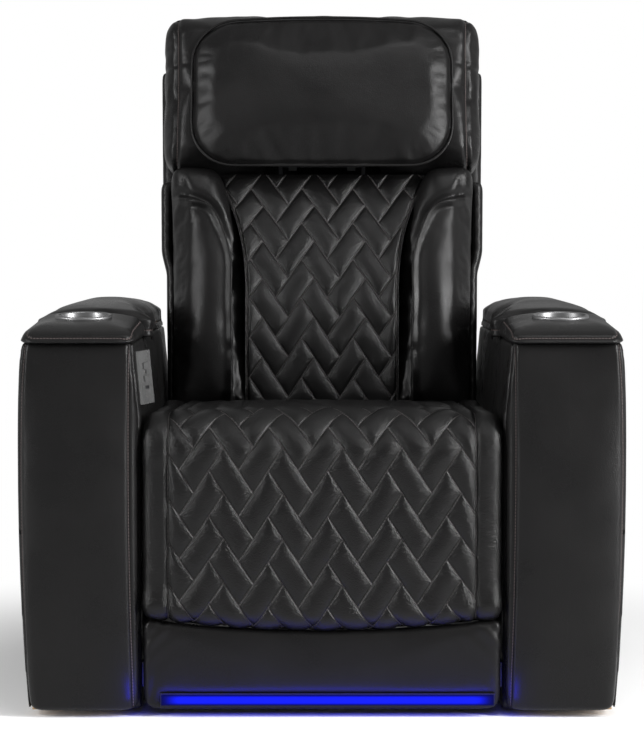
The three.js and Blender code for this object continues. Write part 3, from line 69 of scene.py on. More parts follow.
# %% Place the camera
arm_front_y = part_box("arm_front_right")[0].y
camera_data = bpy.data.cameras.new("camera")
camera_data.lens = 133.04
camera_data.sensor_width = 36
camera = bpy.data.objects.new("camera", camera_data)
bpy.context.collection.objects.link(camera)
camera.location = (0, arm_front_y - 3.889, 0.7001)
camera.rotation_euler = (math.radians(90 - 2.7285), 0, 0)
bpy.context.scene.camera = camera
bpy.context.scene.view_settings.view_transform = "Standard"
print("camera", tuple(round(v, 3) for v in camera.location))

# %% [markdown]
# ## Shader maths as plain expressions
#
# A material that computes stitches needs many Math nodes. One small class wraps a socket and turns
# plus, minus, times and comparisons into nodes, so that the shader reads like a formula.

# %% Wrap a socket so that it can be used in a formula
class Reading:
    def __init__(self, finish, socket):
        self.finish, self.socket = finish, socket

    def maths(self, operation, *others):
        values = dict(enumerate([self, *others]))
        return self.finish.node("ShaderNodeMath", {"operation": operation}, values)

    def __add__(self, other): return self.maths("ADD", other)
    def __radd__(self, other): return self.maths("ADD", other)
    def __sub__(self, other): return self.maths("SUBTRACT", other)

    def __rsub__(self, other):
        return self.finish.node("ShaderNodeMath", {"operation": "SUBTRACT"}, {0: other, 1: self})

    def __mul__(self, other): return self.maths("MULTIPLY", other)
    def __rmul__(self, other): return self.maths("MULTIPLY", other)
    def __truediv__(self, other): return self.maths("DIVIDE", other)
    def __lt__(self, other): return self.maths("LESS_THAN", other)
    def __gt__(self, other): return self.maths("GREATER_THAN", other)
    def __abs__(self): return self.maths("ABSOLUTE")
    def low(self, other): return self.maths("MINIMUM", other)
    def floor(self): return self.maths("FLOOR")
    def rest(self): return self.maths("FRACT")
    def wrap(self, size): return self.maths("FLOORED_MODULO", size)


class Finish:
    """A material under construction, with one way to add a node."""

    def __init__(self, name, **constants):
        self.material = bpy.data.materials.new(name)
        self.material.use_nodes = True
        self.tree = self.material.node_tree
        self.shader = self.tree.nodes["Principled BSDF"]
        for socket, value in constants.items():
            self.shader.inputs[socket.replace("_", " ")].default_value = value

    def node(self, kind, settings=None, values=None, output=0):
        made = self.tree.nodes.new(kind)
        for key, value in (settings or {}).items():
            setattr(made, key, value)
        for key, value in (values or {}).items():
            if isinstance(value, Reading):
                self.tree.links.new(value.socket, made.inputs[key])
            else:
                made.inputs[key].default_value = value
        return Reading(self, made.outputs[output])

    def place(self):
        return self.node("ShaderNodeTexCoord", output="Object")

    def noise(self, scale, detail=3.0, roughness=0.55, vector=None):
        values = {"Vector": vector or self.place(), "Scale": scale, "Detail": detail, "Roughness": roughness}
        return self.node("ShaderNodeTexNoise", {}, values)

    def cells(self, scale):
        return self.node("ShaderNodeTexVoronoi", {}, {"Vector": self.place(), "Scale": scale})

    def ramp(self, reading, low, high, to_low=0.0, to_high=1.0):
        values = {0: reading, 1: low, 2: high, 3: to_low, 4: to_high}
        return self.node("ShaderNodeMapRange", {"interpolation_type": "SMOOTHSTEP"}, values)

    def blend(self, share, first, second):
        settings = {"data_type": "RGBA", "clamp_factor": True}
        return self.node("ShaderNodeMix", settings, {0: share, 6: first, 7: second}, 2)

    def bump(self, height, distance):
        return self.node("ShaderNodeBump", {}, {"Distance": distance, "Height": height})

    def to(self, socket, reading):
        self.tree.links.new(reading.socket, self.shader.inputs[socket])
        return self


print("shader helpers ready")

# %% [markdown]
# ## Leather
#
# Corrected-grain leather is almost black. Its pebbles are one to two millimetres across, its gloss
# changes slightly from place to place, and it creases where it is pulled round a corner.

# %% A leather that can carry one topstitched seam or a herringbone of seams
TUFT_REACH, TUFT_RISE = 0.0216, 0.0335
TUFT_WIDE = 2 * TUFT_REACH * TUFT_RISE / math.hypot(TUFT_REACH, TUFT_RISE)
TUFT_LONG = math.hypot(TUFT_REACH, TUFT_RISE)
THREAD, FAINT_THREAD = (0.075, 0.06, 0.058, 1), (0.04, 0.036, 0.036, 1)
THREAD_HALF, STITCH, STITCH_SHARE = 0.00075, 0.0048, 0.66


def herringbone(finish, sewn):
    """Distance to the nearest seam and the way run along it, in metres."""
    parts = finish.node("ShaderNodeSeparateXYZ", {}, {0: sewn})
    across = Reading(finish, parts.socket.node.outputs[0]) / TUFT_REACH
    down = Reading(finish, parts.socket.node.outputs[1]) / TUFT_RISE
    edge = Reading(finish, parts.socket.node.outputs[2])
    i, j = (down + across) / 2, (down - across) / 2
    turn = (i.floor() - j.floor()).wrap(4)
    is_0, is_1, is_3 = turn < 0.5, abs(turn - 1) < 0.5, turn > 2.5
    is_2 = abs(turn - 2) < 0.5
    near_i = (i.rest() + is_1 * 9).low(1 - i.rest() + is_0 * 9)
    near_j = (j.rest() + is_2 * 9).low(1 - j.rest() + is_3 * 9)
    on_i = near_i < near_j
    run = (on_i * j + (1 - on_i) * i) * TUFT_LONG
    return near_i.low(near_j) * TUFT_WIDE, run, edge


def leather(name, tone=0.0065, sheen=0.3, grain=1.0, seams=None, thread_tone=THREAD, specular=0.17):
    finish = Finish(name, IOR=1.5, Specular_IOR_Level=specular)
    pebbles = finish.cells(620) * 0.6 + finish.cells(1350) * 0.4
    creases = finish.noise(38, 4, 0.6)
    patches = finish.noise(9, 2)
    height = pebbles * 0.5 * grain + creases * 0.9 + finish.noise(400, 2, 0.6) * (grain - 1) * 1.6
    darker, lighter = (tone * 0.8, tone * 0.78, tone * 0.8, 1), (tone * 1.25, tone * 1.2, tone * 1.2, 1)
    colour = finish.blend(patches, darker, lighter)
    gloss = finish.ramp(patches + pebbles * 0.25, 0.35, 0.95, sheen - 0.06, sheen + 0.1)
    if seams:
        sewn = finish.node("ShaderNodeAttribute", {"attribute_name": "sewn"}, output="Vector")
    if seams == "herringbone":
        far, run, edge = herringbone(finish, sewn)
        inside = edge > 0.002
        far = far * inside + (1 - inside) * 0.1
        far = far.low(abs(edge))
    elif seams == "line":
        parts = finish.node("ShaderNodeSeparateXYZ", {}, {0: sewn})
        far = abs(parts)
        run = Reading(finish, parts.socket.node.outputs[1])
    if seams:
        thread = (far < THREAD_HALF) * ((run / STITCH).rest() < STITCH_SHARE)
        pinch_and_painted_shade = finish.ramp(far, 0.0, 0.0024)
        height = height * finish.ramp(far, 0.0, 0.002, 0.3, 1.0) + pinch_and_painted_shade * 0.8 + thread * 0.9
        # Painted shade: along each seam the leather is darkened to 0.4 of its tone, standing in for the shade in
        # the seam's groove.
        colour = finish.blend(pinch_and_painted_shade, (tone * 0.4, tone * 0.4, tone * 0.4, 1), colour)
        colour = finish.blend(thread, colour, thread_tone)
        gloss = gloss + thread * 0.3 + (1 - pinch_and_painted_shade) * 0.15
    finish.to("Base Color", colour).to("Roughness", gloss)
    return finish.to("Normal", finish.bump(height, 0.00045)).material


plain_leather = leather("plain_leather")
stitched_leather = leather("stitched_leather", seams="line")
quilted_leather = leather("quilted_leather", 0.005, 0.17, 1.9, "herringbone", FAINT_THREAD, 0.22)
print("leathers", plain_leather.name, stitched_leather.name, quilted_leather.name)

# %% [markdown]
# ## Metals, plastics and wood
#
# The steel cup is brushed round its axis, the mechanism is zinc plated or painted, and the boards
# are plywood. None of them is one flat colour: each has its own small changes of tone and gloss.

# %% Hard finishes
def brushed(name, tone, rough, across=(4, 4, 300)):
    finish = Finish(name, Metallic=1.0)
    stretched = finish.node("ShaderNodeMapping", {}, {"Vector": finish.place(), "Scale": across})
    lines = finish.noise(3, 4, 0.7, stretched)
    patches = finish.noise(14, 2)
    colour = finish.blend(lines, (tone * 0.8,) * 3 + (1,), (tone * 1.1, tone * 1.1, tone * 1.12, 1))
    gloss = finish.ramp(lines + patches, 0.6, 1.4, rough - 0.07, rough + 0.12)
    finish.to("Base Color", colour).to("Roughness", gloss)
    return finish.to("Normal", finish.bump(lines, 0.00006)).material


def moulded(name, colour, rough, **constants):
    finish = Finish(name, **constants)
    grain = finish.noise(2400, 2)
    patches = finish.noise(11, 3)
    dark = tuple(c * 0.82 for c in colour) + (1,)
    finish.to("Base Color", finish.blend(patches, dark, tuple(colour) + (1,)))
    finish.to("Roughness", finish.ramp(patches + grain * 0.3, 0.4, 1.0, rough - 0.06, rough + 0.1))
    return finish.to("Normal", finish.bump(grain, 0.00005)).material


def plywood(name):
    finish = Finish(name)
    plies = finish.node("ShaderNodeMapping", {}, {"Vector": finish.place(), "Scale": (3, 60, 700)})
    fibre = finish.noise(2, 5, 0.65, plies)
    colour = finish.blend(fibre, (0.28, 0.17, 0.085, 1), (0.52, 0.36, 0.2, 1))
    finish.to("Base Color", colour).to("Roughness", finish.ramp(fibre, 0.3, 0.8, 0.6, 0.85))
    return finish.to("Normal", finish.bump(fibre, 0.0002)).material


finishes = {
    "leather": plain_leather,
    "quilted_leather": quilted_leather,
    "cup_steel": brushed("cup_steel", 0.22, 0.4),
    "zinc_steel": brushed("zinc_steel", 0.16, 0.42, (40, 40, 40)),
    "black_paint": moulded("black_paint", (0.02, 0.02, 0.022), 0.5),
    "black_plastic": moulded("black_plastic", (0.018, 0.018, 0.02), 0.45),
    "silver_plastic": moulded("silver_plastic", (0.24, 0.24, 0.24), 0.28, Metallic=0.7),
    "plywood": plywood("plywood"),
    "channel_aluminium": brushed("channel_aluminium", 0.03, 0.45, (200, 4, 4)),
}


def lit(name, node, colour):
    """A diffuser that glows most along its middle, and fades at its rim and its ends."""
    finish = Finish(name, Emission_Strength=1.0, Roughness=0.5, Specular_IOR_Level=0.05)
    low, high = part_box(node)
    middle, half = (low + high) / 2, (high - low) / 2
    parts = finish.node("ShaderNodeSeparateXYZ", {}, {0: finish.place()})
    share = finish.ramp(abs(parts - middle.x), half.x - 0.03, half.x, 1, 0)
    up = Reading(finish, parts.socket.node.outputs[2])
    share = share * finish.ramp(abs(up - middle.z), half.z * 0.3, half.z * 1.05, 1, 0)
    dim = tuple(c * 0.1 for c in colour) + (1,)
    finish.to("Base Color", finish.blend(share, (0, 0, 0, 1), dim))
    return finish.to("Emission Color", finish.blend(share, dim, colour + (1,))).material


finishes["light_blue"] = lit("light_blue", "light_diffuser", (0.005, 0.012, 0.78))
slot_of = {part["node"]: part["material_slot"] for part in frame["record"]["subparts"]}
for node_name, node in frame["nodes"].items():
    node.data.materials.clear()
    node.data.materials.append(finishes[slot_of[node_name]])
print(len(frame["nodes"]), "CAD nodes have a finish")

# %% [markdown]
# ## Floor, daylight and lamps
#
# A white sweep surrounds the seat. What the camera and shiny surfaces see is white, but the light
# that the world gives to dull surfaces is lower, so that black leather keeps its depth.

# %% Stage and lights
WHITE_IN_GLOSS, DAYLIGHT = 0.2, 0.25


def white_where_seen(tree, reading_of):
    path = tree.nodes.new("ShaderNodeLightPath")
    seen = reading_of(path.outputs["Is Camera Ray"]) + reading_of(path.outputs["Is Transmission Ray"])
    return seen + reading_of(path.outputs["Is Glossy Ray"]) * WHITE_IN_GLOSS


world = bpy.data.worlds.new("studio")
bpy.context.scene.world = world
world.use_nodes = True
world_sheet = Finish.__new__(Finish)
world_sheet.tree = world.node_tree
background = world.node_tree.nodes["Background"]
background.inputs["Color"].default_value = (1, 1, 1, 1)
seen = white_where_seen(world.node_tree, lambda socket: Reading(world_sheet, socket))
world.node_tree.links.new((seen * (1 - DAYLIGHT) + DAYLIGHT).low(1).socket, background.inputs["Strength"])

bpy.ops.object.select_all(action="DESELECT")
bpy.ops.mesh.primitive_plane_add(size=60, location=(0, 0, 0))
floor = bpy.context.object
floor.name = "floor"
floor_finish = Finish("floor_white", Roughness=0.8, Specular_IOR_Level=0.1)
floor_finish.shader.inputs["Base Color"].default_value = (0.9, 0.9, 0.9, 1)
glow = floor_finish.tree.nodes.new("ShaderNodeEmission")
mixed = floor_finish.tree.nodes.new("ShaderNodeMixShader")
output = floor_finish.tree.nodes["Material Output"]
from_middle = {0: floor_finish.place()}
reach = floor_finish.node("ShaderNodeVectorMath", {"operation": "LENGTH"}, from_middle, "Value")
away = floor_finish.ramp(reach, 0.45, 1.3)
share = white_where_seen(floor_finish.tree, lambda socket: Reading(floor_finish, socket)).low(1) * away
floor_finish.tree.links.new(share.socket, mixed.inputs[0])
floor_finish.tree.links.new(floor_finish.shader.outputs[0], mixed.inputs[1])
floor_finish.tree.links.new(glow.outputs[0], mixed.inputs[2])
floor_finish.tree.links.new(mixed.outputs[0], output.inputs["Surface"])
floor.data.materials.append(floor_finish.material)


def softbox(name, place, target, size, power):
    data = bpy.data.lights.new(name, "AREA")
    data.shape, data.size, data.size_y, data.energy = "RECTANGLE", size[0], size[1], power
    lamp = bpy.data.objects.new(name, data)
    bpy.context.collection.objects.link(lamp)
    lamp.location = place
    lamp.rotation_euler = (Vector(target) - Vector(place)).to_track_quat("-Z", "Y").to_euler()
    return lamp


softbox("left_softbox", (-2.7, -1.6, 1.5), (0, 0, 0.6), (0.4, 2.0), 75)
softbox("right_softbox", (2.7, -1.6, 1.5), (0, 0, 0.6), (0.4, 2.0), 170)
softbox("top_softbox", (0.6, -1.4, 3.2), (0, 0, 0.5), (1.5, 0.7), 22)
STRIP_X, before_arms = 0.008, arm_front_y - 0.012
strip_target = (STRIP_X, arm_front_y + 0.02, 0.045)
glows = [softbox("strip_glow", (STRIP_X, before_arms, 0.026), strip_target, (0.49, 0.01), 0.3)]
for side in (-1, 1):
    place, target = (side * 0.262, before_arms, 0.035), (side * 0.29, arm_front_y + 0.004, 0.045)
    glows.append(softbox(f"corner_glow_{side}", place, target, (0.01, 0.03), 0.03))
for lamp in glows:
    lamp.data.color = (0.02, 0.02, 1.0)
    lamp.visible_camera = False

# %% [markdown]
# ## Working with one piece at a time
#
# Operators act on whatever is selected, so every step starts by selecting one piece alone. A sheet
# of leather starts as a flat grid primitive whose rows and columns are then laid on their form.

# %% Helpers for pieces
def alone(piece):
    if bpy.context.object and bpy.context.object.mode != "OBJECT":
        bpy.ops.object.mode_set(mode="OBJECT")
    bpy.ops.object.select_all(action="DESELECT")
    piece.select_set(True)
    bpy.context.view_layer.objects.active = piece
    return piece


def points_of(piece):
    flat = np.empty(len(piece.data.vertices) * 3)
    piece.data.vertices.foreach_get("co", flat)
    return flat.reshape(-1, 3)


def move_points(piece, points):
    piece.data.vertices.foreach_set("co", np.ascontiguousarray(points).ravel())
    piece.data.update()


def normals_of(piece):
    flat = np.empty(len(piece.data.vertices) * 3)
    piece.data.vertices.foreach_get("normal", flat)
    return flat.reshape(-1, 3)


def edit(piece, *steps):
    alone(piece)
    bpy.ops.object.mode_set(mode="EDIT")
    bpy.ops.mesh.select_all(action="SELECT")
    for step in steps:
        step()
    bpy.ops.object.mode_set(mode="OBJECT")
    return piece


def dress(piece, finish, body, *nodes, slot="leather", fill=None, smooth=True):
    alone(piece)
    piece.data.materials.clear()
    piece.data.materials.append(finish)
    if smooth:
        bpy.ops.object.shade_smooth()
    if isinstance(body, str):
        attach(piece, body)
    else:
        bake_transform(piece)
    if nodes:
        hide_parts(*nodes)
    print(piece.name, len(piece.data.polygons), "faces on", body)
    return piece


def write_sewn(piece, values):
    layer = piece.data.attributes.new("sewn", "FLOAT_VECTOR", "POINT")
    layer.data.foreach_set("vector", np.ascontiguousarray(values, dtype=np.float32).ravel())


def rough(points, scale, seed=0.0):
    shift = Vector((seed, seed * 0.7, seed * 1.3))
    return np.array([noise.noise(Vector(p) * scale + shift) for p in points])


print("piece helpers ready")

# %% [markdown]
# ## Herringbone tufts
#
# Every tuft is two steps long and one step wide, and the rows lean left and right in turn. The same
# few lines tell the sheet where to puff up and, in the shader, where the thread runs.

# %% How high a tuft stands at a point of the sheet
def tuft_height(across, down):
    i = (down / TUFT_RISE + across / TUFT_REACH) / 2
    j = (down / TUFT_RISE - across / TUFT_REACH) / 2
    turn = np.mod(np.floor(i) - np.floor(j), 4)
    fi, fj = i - np.floor(i), j - np.floor(j)
    leaning_right = turn < 1.5
    run = np.where(leaning_right, fi + (turn == 1), fj + (turn == 2))
    wide = np.where(leaning_right, fj, fi)
    side = np.clip(np.sin(np.pi * wide), 0, 1) ** 0.5
    ends = np.clip(1 - np.abs(run - 1) ** 5, 0, 1) ** 0.6
    return side * ends


def eased(value):
    value = np.clip(value, 0, 1)
    return value * value * (3 - 2 * value)


print("tuft at its middle", round(float(tuft_height(np.array(0.0), np.array(TUFT_RISE * 1.5))), 3))

# %% [markdown]
# ## The seat and leg-rest cover
#
# One cover runs over the seat, down round its nose and over the leg rest, without a cross seam. It
# is one grid: its rows follow the profile, and its columns go over the top, down the sides and
# underneath. It spans the leg-rest hinge, and it is left in place without being attached to a body.

# %% The profile of the cover, from the rear of the seat to the foot of the leg rest
def arc(centre, radius, start, end, count):
    turns = np.linspace(math.radians(start), math.radians(end), count)
    return np.stack([centre[0] + radius * np.cos(turns), centre[1] + radius * np.sin(turns)], 1)


def along(path, places):
    """Points of a path in the YZ plane at these distances along it."""
    steps = np.hypot(*np.diff(path, axis=0).T)
    run = np.concatenate([[0], np.cumsum(steps)])
    return np.stack([np.interp(places, run, path[:, k]) for k in (0, 1)], 1)


def length_of(path):
    return float(np.hypot(*np.diff(path, axis=0).T).sum())


seat_top, nose_radius, cover_front = 0.448, 0.075, arm_front_y + 0.006
nose = (cover_front + nose_radius, seat_top - nose_radius)
seat_rear, seat_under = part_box("seat_cushion")[1].y, 0.341
foot, foot_radius, pad_rear = 0.127, 0.026, arm_front_y + 0.006 + 0.065
mid_seat = ((seat_rear + nose[0]) / 2, seat_top - 0.0067)
face_path = np.concatenate([
    np.linspace((seat_rear, seat_top - 0.020), mid_seat, 40),
    np.linspace(mid_seat, (nose[0] + 0.001, seat_top), 40)[1:],
    arc(nose, nose_radius, 90, 180, 60),
    arc((cover_front + foot_radius, foot + foot_radius), foot_radius, 180, 270, 24),
])
under_path = np.array([(seat_rear, seat_under), (arm_front_y + 0.112, seat_under),
                       (pad_rear, 0.310), (pad_rear, foot + 0.006)])
nose_start = length_of(face_path[:79])
nose_end = nose_start + nose_radius * math.pi / 2
print("cover", round(length_of(face_path), 3), "m long, nose from", round(nose_start, 3))

# %% [markdown]
# The sheet's columns are shared out over its top, its rolled edge, its sides and its underside. Its
# surface then rises with the tufts, and is pressed in along the seam that parts quilt from border.

# %% A quilted sheet, laid over a profile and closed underneath
CROWN, PUFF = 0.005, 0.0055


def quilted_piece(name, face, under_at, half_at, quilt_half_at, peak, pitch=0.0029, side_drop=0.008,
                  roll=0.014, border=0.003, raised=None, ends=nose_radius, flat_at=-1.0, flow=1):
    """face is a path in the YZ plane; every other shape is a function of the way run along it.
    A flow of -1 is for a path that runs up instead of down."""
    total = length_of(face)
    rows = round(total / pitch)
    runs = np.linspace(0, total, rows + 1)
    spine = along(face, runs)
    tangent = np.gradient(spine, axis=0)
    tangent /= np.hypot(*tangent.T)[:, None]
    inward = under_at(runs) - spine
    outward = np.stack([-tangent[:, 1], tangent[:, 0]], 1)
    outward *= np.where((outward * inward).sum(1) > 0, -1, 1)[:, None]
    half, quilt = half_at(runs), quilt_half_at(runs)
    top = round(2 * (half.max() - roll) / pitch)
    rolled, sides, below = 9, 7, 8
    columns = top + 2 * (rolled + sides + below)

    alone(floor)
    bpy.ops.mesh.primitive_grid_add(x_subdivisions=columns, y_subdivisions=rows, size=1)
    piece = bpy.context.object
    piece.name = piece.data.name = name
    flat = points_of(piece)
    column = np.rint((flat[:, 0] + 0.5) * columns).astype(int)
    row = np.rint((flat[:, 1] + 0.5) * rows).astype(int)

    place = column - columns / 2
    hand, step = np.sign(place), np.abs(place)
    on_top = np.clip(step / (top / 2), 0, 1)
    on_roll = np.clip((step - top / 2) / rolled, 0, 1)
    on_side = np.clip((step - top / 2 - rolled) / sides, 0, 1)
    on_under = np.clip((step - top / 2 - rolled - sides) / below, 0, 1)
    run, half, quilt = runs[row], half[row], quilt[row]
    u = on_top * (half - roll) + roll * np.sin(on_roll * math.pi / 2)
    share = u / half
    ease = eased(run / ends) * eased((total - run) / ends)
    ease = ease * (1 - 0.8 * np.exp(-((run - flat_at) / 0.04) ** 2))
    w = -(CROWN * share ** 2 + side_drop * share ** 6) * ease - roll * (1 - np.cos(on_roll * math.pi / 2))
    u_side = half - 0.005 * np.sin(on_side * math.pi)
    u = np.where(on_side > 0, u_side - 0.006 * on_side, u) * (1 - on_under)

    from_seam = quilt - u
    tufts = tuft_height(hand * u - peak[0], flow * (run - peak[1])) * PUFF
    fade = np.sqrt(np.clip(from_seam / 0.012, 0, 1)) * eased(run / 0.03) * eased((total - run) / 0.012)
    lift = (tufts - 0.3 * PUFF) * fade * (on_under == 0)
    over_border = (u - (quilt + half) / 2) / ((half - quilt) / 2 + 1e-4)
    lift += border * np.clip(1 - over_border ** 2, 0, 1) * (from_seam < 0)
    lift -= 0.003 * np.exp(-(from_seam / 0.0032) ** 2) * (on_side == 0)
    lift += 0.0009 * rough(np.stack([hand * u, run, 0 * u], 1), 34) * (on_side == 0)
    at = spine[row] + outward[row] * (w + lift * (on_side == 0))[:, None]
    at += (under_at(run) - at) * on_side[:, None]
    if raised is not None:
        at[:, 1] += raised(hand * u, run)
    move_points(piece, np.stack([hand * u, at[:, 0], at[:, 1]], 1))
    edge = np.where(on_side > 0, -0.1, from_seam)
    write_sewn(piece, np.stack([hand * u - peak[0], flow * (run - peak[1]), edge], 1))
    edit(piece,
         lambda: bpy.ops.mesh.remove_doubles(threshold=0.00005),
         lambda: bpy.ops.mesh.select_all(action="DESELECT"),
         lambda: bpy.ops.mesh.select_non_manifold(),
         lambda: bpy.ops.mesh.edge_face_add(),
         lambda: bpy.ops.mesh.select_all(action="SELECT"),
         lambda: bpy.ops.mesh.normals_make_consistent(inside=False))
    return piece


pad_half, quilt_half = 0.2635, 0.224
under_length = length_of(under_path)


def under_cover(run):
    stations = [0, nose_start, nose_end, length_of(face_path)]
    at_station = [0, length_of(under_path[:2]), length_of(under_path[:3]), under_length]
    return along(under_path, np.interp(run, stations, at_station))


seat_peak = (0.030, nose_end + nose[1] - 0.327)
cover = quilted_piece(
    "seat_cover", face_path, under_cover, lambda run: np.full(len(run), pad_half),
    lambda run: np.full(len(run), quilt_half), seat_peak, flat_at=(nose_start + nose_end) / 2,
    raised=lambda u, run: 0.018 * (u / pad_half) ** 2 * eased((run - nose_end) / 0.24) ** 2)
bend = ("base", "legrest", (0, nose[0], seat_top), (0, cover_front, nose[1]))
dress(cover, quilted_leather, bend, "seat_cushion", "legrest_pad", slot="quilted_leather", fill=0.8)

# %% [markdown]
# ## The quilted insert of the back
#
# The insert stands almost upright at the waist, and leans away more and more towards the head. It
# widens upwards, because the side bolsters curve outwards there.

# %% Back insert
pivot = next(j for j in frame["joints"] if j["name"] == "back_recline")["pos_m"]
RAKE = math.radians(14)


def on_back(y, z):
    """A point of the back, given in millimetres along its own lean, as a place in the scene."""
    y, z = np.asarray(y, float) / 1000, np.asarray(z, float) / 1000
    return np.stack([pivot[1] + y * math.cos(RAKE) + z * math.sin(RAKE),
                     pivot[2] + z * math.cos(RAKE) - y * math.sin(RAKE)], -1)


def smooth_path(stations, count=120):
    """A soft curve through a few stations."""
    stations = np.array(stations, float)
    run = np.linspace(0, len(stations) - 1, count)
    i = np.clip(run.astype(int), 0, len(stations) - 2)
    t = (run - i)[:, None]
    before, after = stations[np.clip(i - 1, 0, None)], stations[np.clip(i + 2, None, len(stations) - 1)]
    a, b = stations[i], stations[i + 1]
    return 0.5 * (2 * a + (b - before) * t + (2 * before - 5 * a + 4 * b - after) * t ** 2
                  + (3 * a - before - 3 * b + after) * t ** 3)


def off_back(points):
    """The reverse of on_back: how far forward of the back's plane, and how high along it."""
    y, z = points[:, 1] - pivot[1], points[:, 2] - pivot[2]
    return np.stack([y * math.cos(RAKE) - z * math.sin(RAKE), y * math.sin(RAKE) + z * math.cos(RAKE)], 1)


def heights_of(node):
    """The lowest and highest place of a solid, along the back's lean."""
    up = off_back(points_of(frame["nodes"][node]))[:, 1]
    return float(up.min()), float(up.max())


cushion_top, head_low = heights_of("back_insert")[1], heights_of("head_block")[0]
insert_profile = smooth_path([(-72, 60), (-94, 232), (-86, 352), (-56, cushion_top * 1000 + 1)])
insert_face = on_back(insert_profile[:, 0], insert_profile[:, 1])
insert_run = np.concatenate([[0], np.cumsum(np.hypot(*np.diff(insert_face, axis=0).T))])


def height_on_insert(run):
    return np.interp(run, insert_run, insert_profile[:, 1])


WAIST_HALF, TOP_HALF, WIDENS_FROM = 129, 184, 250


def insert_half(height):
    share = np.clip((height - WIDENS_FROM) / (head_low * 1000 - WIDENS_FROM), 0, 1)
    return (WAIST_HALF + (TOP_HALF - WAIST_HALF) * share ** 2.2) / 1000


insert = quilted_piece(
    "back_quilt", insert_face, lambda run: on_back(-21 + 0 * run, height_on_insert(run)),
    lambda run: insert_half(height_on_insert(run)), lambda run: insert_half(height_on_insert(run)) - 0.004,
    (-0.013, float(np.interp(211, insert_profile[:, 1], insert_run))), pitch=0.0026,
    side_drop=-0.010, roll=0.004, border=0.0, ends=0.04, flow=-1)
dress(insert, quilted_leather, "back", "back_insert", slot="quilted_leather", fill=0.8)

# %% [markdown]
# ## Plump cushions by cloth simulation
#
# A stuffed cushion swells until its cover is tight. Each cushion starts as a copy of its CAD solid,
# is remeshed into even squares, and is blown up as cloth with no gravity. How far a point may move
# is capped, its back stays where it rests, and its seams are pressed in afterwards.

# %% Remesh, swell and sew
def copy_of(node, name):
    mesh = frame["nodes"][node].data.copy()
    piece = bpy.data.objects.new(name, mesh)
    bpy.context.collection.objects.link(piece)
    mesh.name = name
    return edit(piece, lambda: bpy.ops.mesh.remove_doubles(threshold=0.00004))


def apply_modifier(piece, kind, **settings):
    alone(piece)
    modifier = piece.modifiers.new(kind.lower(), kind)
    for key, value in settings.items():
        setattr(modifier, key, value)
    bpy.ops.object.modifier_apply(modifier=modifier.name)
    return piece


def remesh(piece, size):
    apply_modifier(piece, "REMESH", mode="VOXEL", voxel_size=size, use_smooth_shade=True)
    return apply_modifier(piece, "SMOOTH", factor=0.5, iterations=6)


CLOTH_FRAMES, CALMING = 20, 14


def swell(piece, held, cap, pressure=4.0, growth=0.03):
    """Blows the piece up as cloth. held gives, for its points, how firmly each one stays put, and cap
    how far one may move. The smallest wrinkles are smoothed away afterwards."""
    before = points_of(piece)
    group = piece.vertex_groups.new(name="held")
    for index, hold in enumerate(held(before)):
        if hold > 0:
            group.add([index], float(min(hold, 1)), "REPLACE")
    alone(piece)
    cloth = piece.modifiers.new("cloth", "CLOTH")
    cloth.settings.quality = 5
    cloth.settings.mass = 0.3
    cloth.settings.tension_stiffness = cloth.settings.compression_stiffness = 12
    cloth.settings.shear_stiffness = 8
    cloth.settings.bending_stiffness = 0.6
    cloth.settings.use_pressure = True
    cloth.settings.uniform_pressure_force = pressure
    cloth.settings.shrink_min = -growth
    cloth.settings.vertex_group_mass = "held"
    cloth.settings.pin_stiffness = 4
    cloth.settings.effector_weights.gravity = 0
    cloth.collision_settings.use_collision = False
    cloth.collision_settings.use_self_collision = False
    cloth.point_cache.frame_start, cloth.point_cache.frame_end = 1, CLOTH_FRAMES
    for moment in range(1, CLOTH_FRAMES + 1):
        bpy.context.scene.frame_set(moment)
    bpy.ops.object.modifier_apply(modifier=cloth.name)
    bpy.context.scene.frame_set(1)
    moved = points_of(piece) - before
    far = np.linalg.norm(moved, axis=1, keepdims=True)
    move_points(piece, before + moved * np.minimum(1, cap / np.maximum(far, 1e-9)))
    print(piece.name, "swelled by up to", round(float(far.max()) * 1000, 1), "mm")
    return apply_modifier(piece, "SMOOTH", factor=0.5, iterations=CALMING)


def nearest_on(path, points):
    """Signed distance to a path in a plane, and the way run along it, for many points."""
    best = np.full(len(points), 9.0)
    side, run_at, run = np.zeros(len(points)), np.zeros(len(points)), 0.0
    for a, b in zip(path[:-1], path[1:]):
        step = b - a
        long = float(np.hypot(*step))
        if long < 1e-7:
            continue
        share = np.clip(((points - a) @ step) / long ** 2, 0, 1)
        away = points - (a + share[:, None] * step)
        far = np.hypot(*away.T)
        nearer = far < best
        best[nearer] = far[nearer]
        side[nearer] = np.sign(step[0] * away[nearer, 1] - step[1] * away[nearer, 0])
        run_at[nearer] = run + share[nearer] * long
        run += long
    return best * np.where(side == 0, 1, side), run_at


def sew(piece, paths, flat_of, faces, deep, wide):
    """Presses seams into the piece. flat_of lays its points in the plane that the paths are drawn in,
    and faces tells, from the normals, which points the seams may reach."""
    points, normals = points_of(piece), normals_of(piece)
    flat, reached = flat_of(points), faces(points, normals)
    sewn = np.tile([0.1, 0.0, 0.0], (len(points), 1))
    groove = np.zeros(len(points))
    for path in paths:
        far, run = nearest_on(np.asarray(path, float), flat)
        far = np.where(reached, far, 0.1)
        nearer = np.abs(far) < np.abs(sewn[:, 0])
        sewn[nearer, 0], sewn[nearer, 1] = far[nearer], run[nearer]
        groove = np.maximum(groove, np.exp(-(far / wide) ** 2))
    move_points(piece, points - normals * (groove * deep)[:, None])
    write_sewn(piece, sewn)
    return piece


def spread(path, step=0.012, closed=True):
    """The same path with evenly spaced points."""
    whole = np.vstack([path, path[:1]]) if closed else path
    steps = np.linalg.norm(np.diff(whole, axis=0), axis=1)
    run = np.concatenate([[0], np.cumsum(steps)])
    places = np.linspace(0, run[-1], max(int(run[-1] / step), 4) + 1)
    if closed:
        places = places[:-1]
    return np.stack([np.interp(places, run, whole[:, k]) for k in range(whole.shape[1])], 1)


